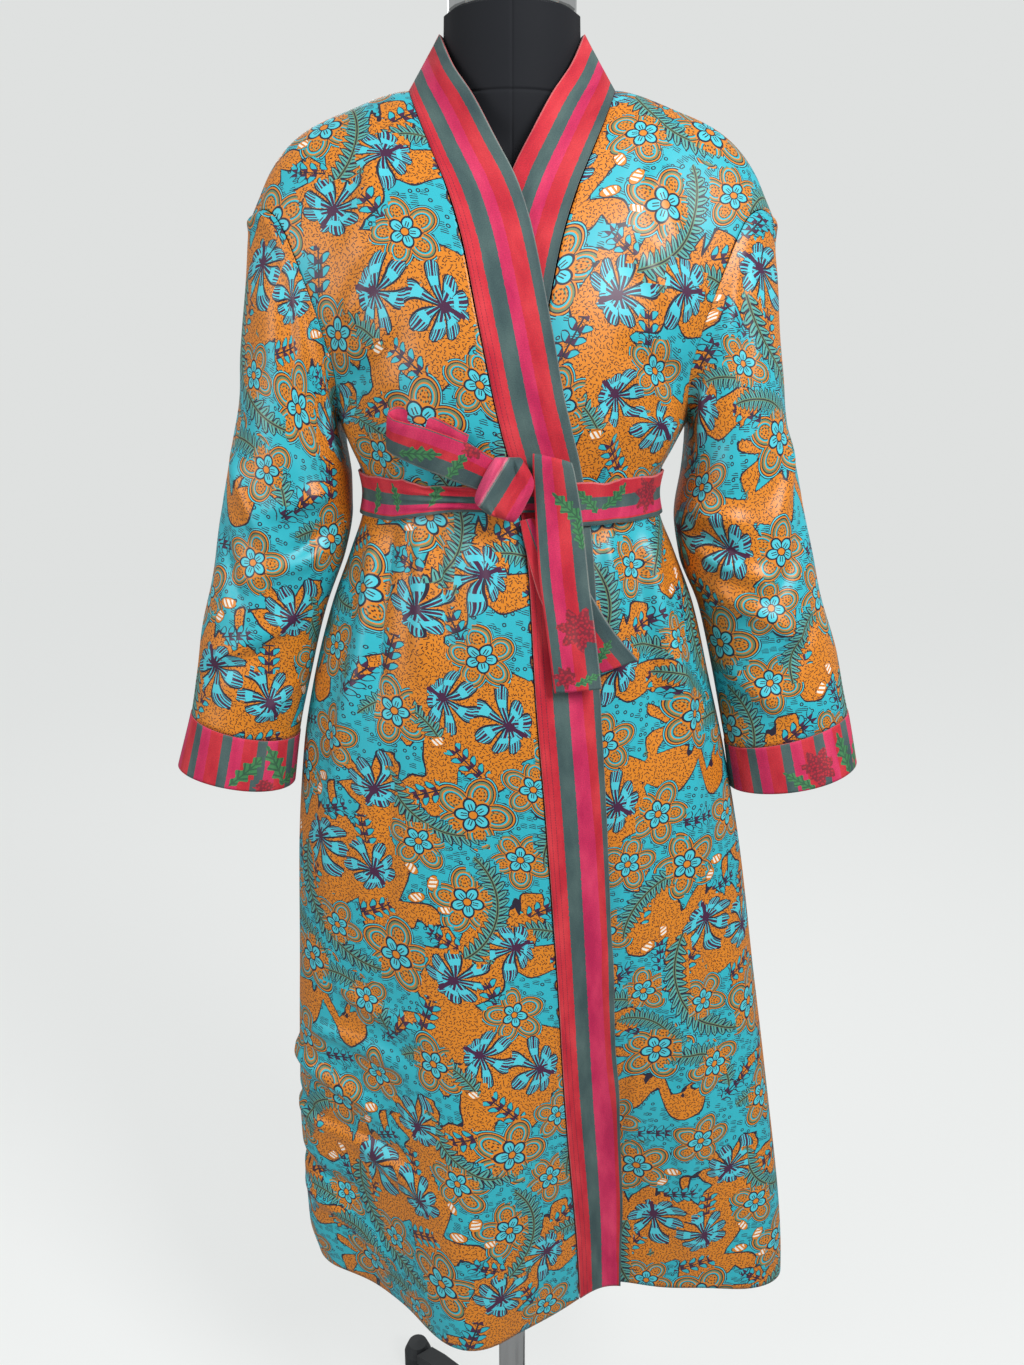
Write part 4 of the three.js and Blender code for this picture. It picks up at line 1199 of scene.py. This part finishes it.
# Creases of a sleeve: its ends, each how far down (0 to 8) and at what angle in degrees, depth, half-width
SLEEVE_CREASES = {
    "right": table(
        "along0 angle0 along1 angle1 depth width",
        (3.4, 150, 4.9, 70, 3.4, 0.17), (3.9, 165, 5.5, 95, -3.0, 0.15), (4.5, 170, 5.9, 60, 3.0, 0.16),
        (4.2, 20, 5.4, 100, 2.6, 0.16), (5.0, 10, 6.3, 85, -2.4, 0.15), (5.7, 150, 7.1, 50, 2.6, 0.17),
        (6.4, 120, 7.4, 30, -2.2, 0.16), (6.9, 160, 7.7, 100, 2.4, 0.14), (1.2, 120, 3.2, 150, 2.4, 0.2),
        (0.9, 60, 3.0, 100, -1.8, 0.22), (3.6, 215, 5.0, 290, 3.0, 0.17), (4.4, 200, 5.6, 270, -2.6, 0.15),
        (5.2, 330, 6.4, 260, 2.8, 0.16), (6.2, 210, 7.3, 300, 2.4, 0.16), (1.4, 230, 3.2, 210, 2.2, 0.2),
    ),
    "left": table(
        "along0 angle0 along1 angle1 depth width",
        (3.7, 20, 5.0, 95, 3.8, 0.15), (4.1, 12, 5.5, 85, -3.4, 0.14), (4.5, 8, 6.0, 110, 3.4, 0.15),
        (4.0, 165, 5.2, 95, 2.4, 0.17), (5.0, 160, 6.1, 80, -2.6, 0.15), (5.5, 30, 6.9, 130, 2.8, 0.16),
        (6.2, 150, 7.3, 60, -2.4, 0.15), (6.8, 20, 7.6, 90, 2.6, 0.14), (1.1, 60, 3.1, 30, 2.4, 0.2),
        (0.9, 125, 2.9, 85, -1.8, 0.22), (3.7, 330, 5.1, 255, 3.0, 0.16), (4.5, 345, 5.7, 270, -2.6, 0.15),
        (5.3, 210, 6.5, 290, 2.8, 0.16), (6.3, 330, 7.3, 240, 2.4, 0.16), (1.3, 300, 3.1, 335, 2.2, 0.2),
    ),
}


# A radian in degrees; how much a crease bows; how much of it is lost on the side next to the body
RADIAN = 57.3
SLEEVE_BOW = 0.22
INNER_CALM = 0.75


def sleeve_creased(points, name, along, turns):
    """A sleeve surface with its own creases; they die out at the armhole and the cuff."""
    angle, down = spread(turns * 360, along)
    push = 0.9 * np.sin(down * 2.9 + np.radians(angle) * 2) + 0.5 * np.sin(down * 5.1 - np.radians(angle) * 3)
    for row in rows_of(SLEEVE_CREASES[name]):
        span = row["along1"] - row["along0"], (row["angle1"] - row["angle0"]) / RADIAN
        t, off = along_line(down - row["along0"], wrapped(angle - row["angle0"], 360) / RADIAN, *span)
        off = off - SLEEVE_BOW * t * (1 - t)
        ridge = np.exp(-((off / row["width"] * 1.15) ** 2))
        push = push + SLEEVE_GAIN * row["depth"] * crease_fade(t, 0.35, 0.15) * ridge
    push = push * smooth(down / 0.9) * smooth((CUFF_SEAM + 0.05 - down) / 0.5)
    inner = smooth((np.cos(np.radians(angle)) * (1 if name == "left" else -1) - 0.55) / 0.4)
    push = push * (1 - INNER_CALM * inner)
    return points + grid_normals(points, True) * push[..., None]


def lay_panel(name, points, column, shift, lift=0):
    """A printed panel, its flat places counted from one column, its print shifted."""
    printed = print_values(*flat_places(points, column), shift)
    return lay_body(name, creased(points), lift, SATIN, [PRINT, LINING], printed)


points = front_surface(-1, np.linspace(0, 1, 96), PANEL_LEVELS)
front_right = lay_panel("front_right_cloth", points, 95, (0, 0), lap_lift(points))
points = front_surface(1, np.linspace(0, 1, 70), PANEL_LEVELS)
front_left = lay_panel("front_left_cloth", points, 0, (170, 90))
points = back_surface(np.linspace(0, 1, 150), np.append(PANEL_LEVELS[:-1], 2))
back = lay_panel("back_cloth", points, 75, (60, 210))

SLEEVE_SHIFT = {"right": (40, 130), "left": (230, 130)}
SEAM_STEP = 0.005
sleeves = {}
for name, rows in SLEEVES:
    along, turns = np.linspace(CUFF_SEAM - SEAM_STEP, 0, 112), np.linspace(0, 1, 85)
    points = sleeve_surface(rows, turns, along)
    printed = print_values(*flat_places(points, 0), SLEEVE_SHIFT[name])
    sleeves[name] = lay_body(f"sleeve_{name}_cloth", sleeve_creased(points, name, along, turns), 0, SATIN,
                             [PRINT, LINING], printed, closed=True)

# The velvet sits a little into the satin under it
VELVET_LIFT = -0.3
BAND_ALONG = np.linspace(0, 0.999, 332)
bands = {}
for name, side in (("right", -1), ("left", 1)):
    across = np.linspace(0.01, 1, 25) if side < 0 else np.linspace(0, 0.99, 25)
    points = band_surface(side, across, BAND_ALONG)
    lift = (lap_lift(points) if side < 0 else 0) + VELVET_LIFT
    stripe = stripe_value(*spread(across, BAND_ALONG), BAND_STRIPES if side < 0 else UNDER_BAND_STRIPES)
    values = velvet_values(stripe, *flat_places(points, 0), sewn=1.0 if side < 0 else 0.0)
    bands[name] = lay_body(f"band_{name}_cloth", creased(points), lift, VELVET, [VELVET_PILE], values)
across, up = np.linspace(0.001, 0.999, 121), np.linspace(0.03, 1, 25)
points = neck_surface(across, up)
turn, height = spread(across, up)
flat_across, flat_up = flat_places(points, 60)
values = velvet_values(stripe_value(height, turn, NECK_STRIPES), flat_up, flat_across)
neck = lay_body("band_neck_cloth", points, VELVET_LIFT, VELVET, [VELVET_PILE], values)

# Woven motifs on the flat cloth: kind (6 leaf, 7 blossom), across, up, size, turn.
# On the cuffs the velvet runs round, its stripes up and down.
CUFF_MOTIFS = {
    "right": ((6, 100, 22, 26, 50), (6, 128, 26, 28, 120), (6, 150, 12, 20, 20), (7, 118, 4, 14, 0),
              (6, 330, 24, 26, 60), (6, 360, 20, 24, 130)),
    "left": ((7, 104, 20, 24, 0), (6, 136, 24, 26, 100), (6, 160, 18, 24, 60), (6, 84, 10, 20, 140),
             (7, 330, 20, 22, 0), (6, 360, 24, 24, 60)),
}
CUFF_PHASE = {"right": 0.8, "left": 2.6}
CUFF_STRIPE = 11.5
# Where the stripes start again, a face's corners differ by more than this and its low ones are raised
STRIPE_JUMP, STRIPE_TOP = 1.5, 3.99
cuff_turns = np.linspace(0, 1, 121)
cuffs = {}
for name, rows in SLEEVES:
    along = np.linspace(CUFF_SEAM + 1, CUFF_SEAM + SEAM_STEP, 22)
    points = sleeve_surface(rows, cuff_turns, along)
    flat = flat_places(points, 0)
    values = velvet_values(1 + (flat[0] / CUFF_STRIPE) % 3, *flat, CUFF_MOTIFS[name])
    stripe = values["stripe"]
    jumps = (stripe.max(axis=2) - stripe.min(axis=2) > STRIPE_JUMP)[..., None] & (stripe < 2)
    values["stripe"] = np.where(jumps, STRIPE_TOP, stripe)
    wave = 2.3 + 1.3 * np.sin(cuff_turns * 6 * math.pi + CUFF_PHASE[name])
    flare = wave[None, :] * (along - CUFF_SEAM)[:, None]
    cuffs[name] = lay_body(f"cuff_{name}_cloth", points, flare + VELVET_LIFT, VELVET, [VELVET_PILE], values,
                           closed=True)

# Belt: the stretch round the waist; angle 0 at the -X side, 90 in front. It is drawn in beside the knot
BELT_LIFT = 1.2
BELT_WALL = 2.0
# In x along the front: where the belt is drawn in, where its gathers end, where it lies over the lap
DRAWN_IN = (-125, 60)
GATHER_END = -15
OVER_LAP = (-135, 118)
# How much narrower and higher the belt is there, how deep its gathers are, how thick the band under it is
NARROWED, RAISED, GATHER_DEPTH, UNDER_BELT = 0.42, 0.13, 1.3, 2.1
BELT_MOTIFS = (
    (6, 60, 20, 18, 80), (6, 88, 22, 16, 100), (6, 132, 24, 20, 60), (7, 8, 22, 20, 0),
    (6, 262, 24, 18, 130), (6, 290, 26, 20, 40), (7, 336, 24, 22, 0), (6, 420, 22, 18, 60),
    (6, 520, 20, 18, 120), (6, 640, 24, 18, 40), (7, 700, 20, 20, 0),
)


def belt_point(turn, height):
    return body_point(turn, level_of(WAIST + BELT_HEIGHT * height))


turn, height = spread(np.linspace(0, 1, 241) * 360, np.linspace(-0.5, 0.5, 25))
x, y, _ = np.moveaxis(belt_point(turn, height), -1, 0)
drawn_in = smooth((x - DRAWN_IN[0]) / 85) * smooth((DRAWN_IN[1] - x) / 30) * (y < 0)
points = belt_point(turn, height * (1 - NARROWED * drawn_in) + RAISED * drawn_in)
x, y, _ = np.moveaxis(points, -1, 0)
gather = drawn_in * smooth((GATHER_END - x) / 20) * (np.cos(height * 26 + turn / 9) + 0.4)
over_lap = smooth((x - OVER_LAP[0]) / 45) * smooth((OVER_LAP[1] - x) / 30)
under = np.where(y < 0, mix(SATIN, LAP_LIFT + UNDER_BELT, over_lap), SATIN) + GATHER_DEPTH * gather
height = 0.5 - height
values = velvet_values(stripe_value(height, height, BELT_STRIPES), *flat_places(points, 0), BELT_MOTIFS)
belt = lay_body("belt_cloth", creased(points, closed=True), under + BELT_LIFT, BELT_WALL, [VELVET_PILE],
                values, closed=True)

TAIL_COLUMNS = "at x z half slant off turn"
TAIL_FRONT = table(
    TAIL_COLUMNS,
    (0, 34, 1382, 15, -3, 16, 0),
    (0.35, 35, 1387.5, 17, -4, 22.5, 0),
    (1, 38, 1367, 19.5, -3, 26, 0),
    (2, 42, 1332, 21, 0, 24, 1),
    (3, 47, 1280, 22, 2, 22, 1),
    (4, 54, 1230, 22, 2, 21, 0),
    (5, 61, 1177, 22, 2, 21, 0),
)
TAIL_REAR = table(
    TAIL_COLUMNS,
    (0, 16, 1334, 9, 2, 15, 0),
    (1, 27, 1310, 14, 6, 15, 0),
    (2, 46, 1268, 20, 8, 15, 0),
    (3, 69, 1226, 22, 9, 15.5, 0),
    (4, 92, 1194, 25, 9, 16, 0),
)
BOW = table(
    "at x z half lean off",
    (0, -23, 1374, 14, 0.55, 20),
    (1, -50, 1386, 16.5, 0.45, 21),
    (2, -82, 1397, 17, 0.3, 20),
    (3, -108, 1405, 16, 0.1, 18),
    (4, -112.5, 1409, 17, 0.1, 14.5),
    (5, -104, 1413, 18, 0.2, 7.8),
    (6, -75, 1404, 19, 0.3, 8.0),
    (7, -42, 1392, 16, 0.3, 12.5),
)
EDGE_ROLL = 0.9
STRIP_ACROSS = np.linspace(0, 1, 21)


def tail_surface(rows, across, along):
    across, along = spread(across, along)
    side = across * 2 - 1
    x, z = read(rows, along, "x"), read(rows, along, "z")
    y = on_body(x, z)[..., 1] - read(rows, along, "off") + read(rows, along, "turn") * side
    return stack(x + read(rows, along, "half") * side, y, z + read(rows, along, "slant") * side)


def bow_surface(along, across):
    along, across = spread(along, across)
    side = across * 2 - 1
    x, half = read(BOW, along, "x"), read(BOW, along, "half")
    z = read(BOW, along, "z") + half * side
    y = on_body(x, z)[..., 1] - read(BOW, along, "off")
    return stack(x + half * read(BOW, along, "lean") * side, y, z)


def padded_wall(name, points, across, values):
    """A soft wall whose long edges are rolled thinner than its middle; across is 0 and 1 at those edges."""
    normal = grid_normals(points, False)
    swell = EDGE_ROLL * (1 - (across * 2 - 1) ** 4)
    outer = points + normal * (BELT_WALL - EDGE_ROLL + swell)[..., None]
    inner = points + normal * (EDGE_ROLL - swell)[..., None]
    return shell(name, outer, inner, False, [VELVET_PILE], values)


def hang_tail(name, rows, steps, stripes, motifs):
    """A hanging end of the belt, from its tip up."""
    along = np.linspace(rows["at"][-1], 0, steps)
    points = tail_surface(rows, STRIP_ACROSS, along)
    stripe = stripe_value(*spread(STRIP_ACROSS, along), stripes)
    return padded_wall(name, points, STRIP_ACROSS[None, :],
                       velvet_values(stripe, *flat_places(points, 0), motifs))


FRONT_TAIL_MOTIFS = ((7, 30, 58, 24, 0), (7, 12, 14, 13, 0), (6, 32, 10, 14, 20), (6, 30, 168, 22, 130),
                     (6, 38, 146, 18, 100))
REAR_TAIL_MOTIFS = ((6, 30, 20, 16, 40),)
BOW_MOTIFS = ((6, 62, 12, 22, 160), (6, 26, 14, 18, 100), (7, 20, 34, 12, 0))
tail_front = hang_tail("tail_front_cloth", TAIL_FRONT, 121, TAIL_FRONT_STRIPES, FRONT_TAIL_MOTIFS)
tail_rear = hang_tail("tail_rear_cloth", TAIL_REAR, 71, TAIL_REAR_STRIPES, REAR_TAIL_MOTIFS)

bow_along = np.linspace(0, 7, 141)
points = bow_surface(bow_along, STRIP_ACROSS)
width, height = spread(bow_along, 1 - STRIP_ACROSS)
values = velvet_values(stripe_value(height, width, BOW_STRIPES), *flat_places(points, 0), BOW_MOTIFS)
bow = padded_wall("bow_cloth", points, STRIP_ACROSS[:, None], values)

# The knot: one soft turn of belt, given by its left and right edges from its low end to its high end
KNOT = table(
    "at x0 z0 x1 z1",
    (0, -22, 1339, 3, 1331),
    (0.25, -33, 1352, 12, 1347),
    (0.6, -26, 1371, 19.5, 1366),
    (1, -16, 1389, 9, 1389),
)
# The knot's middle, how far it stands off the robe and how deep it is
KNOT_X, KNOT_Z, KNOT_OFF, KNOT_DEEP = -8.0, 1360.0, 23.3, 11
# How much the knot's section is squared, its inner skin's size, the length of its velvet
KNOT_SQUARE, KNOT_SKIN, KNOT_STRIP = 0.6, 0.94, 34
turn = np.linspace(0, 2 * np.pi, 97)[None, :]
end = np.sin(np.linspace(-1.56, 1.56, 57))[:, None]
round_off = np.sqrt(1 - np.abs(end) ** 7)
side, deep = (np.sign(wave) * np.abs(wave) ** KNOT_SQUARE for wave in (np.cos(turn), np.sin(turn)))
side = side * (0.82 + 0.18 * round_off)
pleats = 1.5 * np.cos(side * 8.5 + end * 1.4) + 0.8 * np.cos(side * 17 - end * 2)
deep = KNOT_DEEP * round_off * deep - pleats * (np.sin(turn) < 0) * round_off * (1 - side**6)
x0, z0, x1, z1 = (read(KNOT, (end + 1) / 2, column) for column in ("x0", "z0", "x1", "z1"))
middle = on_body(np.array(KNOT_X), np.array(KNOT_Z)) - np.array([0, KNOT_OFF, 0])
across, up = (x0 + x1) / 2 + (x1 - x0) / 2 * side, (z0 + z1) / 2 + (z1 - z0) / 2 * side
points = stack(across, middle[1] + deep, up)
over = (points[..., 0] - middle[0]) * 0.85 - (points[..., 2] - middle[2]) * 0.53
stripe = np.interp(over, (-26, -11, 2, 14, 26), (5.8, 5, 4, 3, 2.2))
values = velvet_values(stripe, over, KNOT_STRIP * end + 0 * side)
knot = shell("knot_cloth", points, middle + (points - middle) * KNOT_SKIN, True, [VELVET_PILE], values)

# The dress form: half-width and depths at each height, and the neck's own radius
FORM = table(
    "at half front back neck",
    (950, 150, 82, 88, 1), (1020, 166, 90, 102, 1), (1100, 173, 95, 108, 1), (1170, 168, 95, 104, 1),
    (1230, 156, 92, 96, 1), (1290, 138, 88, 86, 1), (1345, 127, 84, 80, 1), (1400, 138, 96, 86, 1),
    (1435, 148, 102, 88, 1), (1480, 158, 103, 90, 1), (1540, 170, 92, 88, 1), (1600, 177, 74, 76, 1),
    (1640, 176, 56, 60, 40), (1664, 166, 42, 46, 54), (1676, 152, 34, 38, 57), (1688, 133, 22, 24, 58),
    (1699, 95, 14, 15, 58), (1706, 60, 14, 15, 58), (1730, 50, 14, 15, 58), (1760, 50, 14, 15, 57),
)
# The cover's seams: a height and an angle, each with its depth and width; how far the cover lies inside
NECK_SEAM, NECK_SEAM_DEPTH, NECK_SEAM_WIDTH = 1692, 0.9, 1.3
CENTRE_FRONT, CENTRE_DEPTH, CENTRE_WIDTH = 1.5 * math.pi, 0.7, 1 / 50
COVER_INSET = 0.5


def dress_form():
    """A closed form with a stitched-in seam round the neck and one down the centre front."""
    fine = CENTRE_FRONT + np.array([-0.04, -0.025, -0.015, -0.007, 0.007, 0.015, 0.025, 0.04])
    turns = np.sort(np.concatenate([np.linspace(0, 2 * math.pi, 192, endpoint=False), fine]))
    heights = np.concatenate([[950], np.linspace(951, 1684, 120), np.linspace(1685, 1699, 36),
                              np.linspace(1700, 1759.5, 24), [1760]])
    turn, z = spread(turns, heights)
    depth = np.where(np.sin(turn) > 0, read(FORM, z, "back"), read(FORM, z, "front"))
    trunk = 1 / np.hypot(np.cos(turn) / read(FORM, z, "half"), np.sin(turn) / depth) - COVER_INSET
    radius = (trunk**6 + read(FORM, z, "neck")**6) ** (1 / 6)
    radius = radius - NECK_SEAM_DEPTH * np.exp(-(((z - NECK_SEAM) / NECK_SEAM_WIDTH) ** 2))
    radius = radius - CENTRE_DEPTH * np.exp(-(((turn - CENTRE_FRONT) / CENTRE_WIDTH) ** 2))
    points = stack(radius * np.cos(turn), radius * np.sin(turn), z)
    rows, columns = turn.shape
    k = np.arange(columns // 2 - 1)
    cap = np.stack([k, k + 1, columns - 2 - k, columns - 1 - k], axis=1)
    quads = np.concatenate([grid_quads(rows, columns, True), cap[:, ::-1], cap + (rows - 1) * columns])
    piece = make_mesh("form_torso_cover", points.reshape(-1, 3), quads)
    cover, _, shader = plain("stretch cover", colour(27, 29, 34), 0.8, sheen=0.03)
    shader["Specular IOR Level"].default_value = 0.25
    piece.data.materials.append(cover)
    return piece


PIECES = (
    (dress_form(), "form_torso"),
    (front_right, "front_right"), (front_left, "front_left"), (back, "back_right", "back_left"),
    (sleeves["right"], "sleeve_right_front", "sleeve_right_back"),
    (sleeves["left"], "sleeve_left_front", "sleeve_left_back"),
    (cuffs["right"], "cuff_right"), (cuffs["left"], "cuff_left"),
    (bands["right"], "band_right"), (bands["left"], "band_left"), (neck, "band_neck"),
    (belt, "belt"), (knot, "knot"), (bow, "bow"), (tail_front, "tail_front"), (tail_rear, "tail_rear"),
)
for piece, *nodes in PIECES:
    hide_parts(*nodes)
    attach(piece, "root")


def make_light(name, place, target, size, power):
    data = bpy.data.lights.new(name, "AREA")
    data.shape = "RECTANGLE"
    data.size, data.size_y = size
    data.energy = power
    light = bpy.data.objects.new(name, data)
    light.location = place
    aim = np.array(target) - np.array(place)
    flat = math.hypot(aim[0], aim[1])
    light.rotation_euler = (math.atan2(flat, -aim[2]), 0, math.atan2(aim[1], aim[0]) - math.pi / 2)
    bpy.context.scene.collection.objects.link(light)


def seen_level(tree, unseen, seen):
    """A brightness that differs between what the camera sees and what lights the scene."""
    camera_ray = tree.nodes.new("ShaderNodeLightPath").outputs["Is Camera Ray"]
    level = tree.nodes.new("ShaderNodeMapRange")
    level.inputs["To Min"].default_value = unseen
    level.inputs["To Max"].default_value = seen
    tree.links.new(camera_ray, level.inputs["Value"])
    return level.outputs["Result"]


# Studio: a pale floor under a pale world, soft lamps in front on both sides and one behind
FLOOR = 6000
floor_points = np.array([(-FLOOR, -FLOOR, 0), (FLOOR, -FLOOR, 0), (FLOOR, FLOOR, 0), (-FLOOR, FLOOR, 0)])
studio_floor = make_mesh("studio_floor", floor_points, np.array([[0, 1, 2, 3]]), False)
paper, tree, glow = plain("studio paper", colour(150, 151, 151), 0.95)
glow["Emission Color"].default_value = colour(226, 228, 227)
tree.links.new(seen_level(tree, 0.0, 0.78), glow["Emission Strength"])
studio_floor.data.materials.append(paper)
world = bpy.data.worlds.new("studio")
world.use_nodes = True
background = world.node_tree.nodes["Background"]
background.inputs["Color"].default_value = colour(228, 230, 229)
world.node_tree.links.new(seen_level(world.node_tree, 0.5, 0.95), background.inputs["Strength"])
bpy.context.scene.world = world
# Each lamp's name, place, target and size in metres, and watts
LAMPS = (
    ("key", (1.5, -1.9, 2.9), (0, 0, 1.25), (0.9, 1.2), 74),
    ("fill", (-2.2, -1.6, 1.9), (0, 0, 0.9), (1.0, 1.8), 26),
    ("rim", (-0.6, 2.4, 2.6), (0, 0, 1.3), (1.2, 1.2), 10),
)
for lamp in LAMPS:
    make_light(*lamp)
bpy.context.scene.view_settings.view_transform = "Standard"
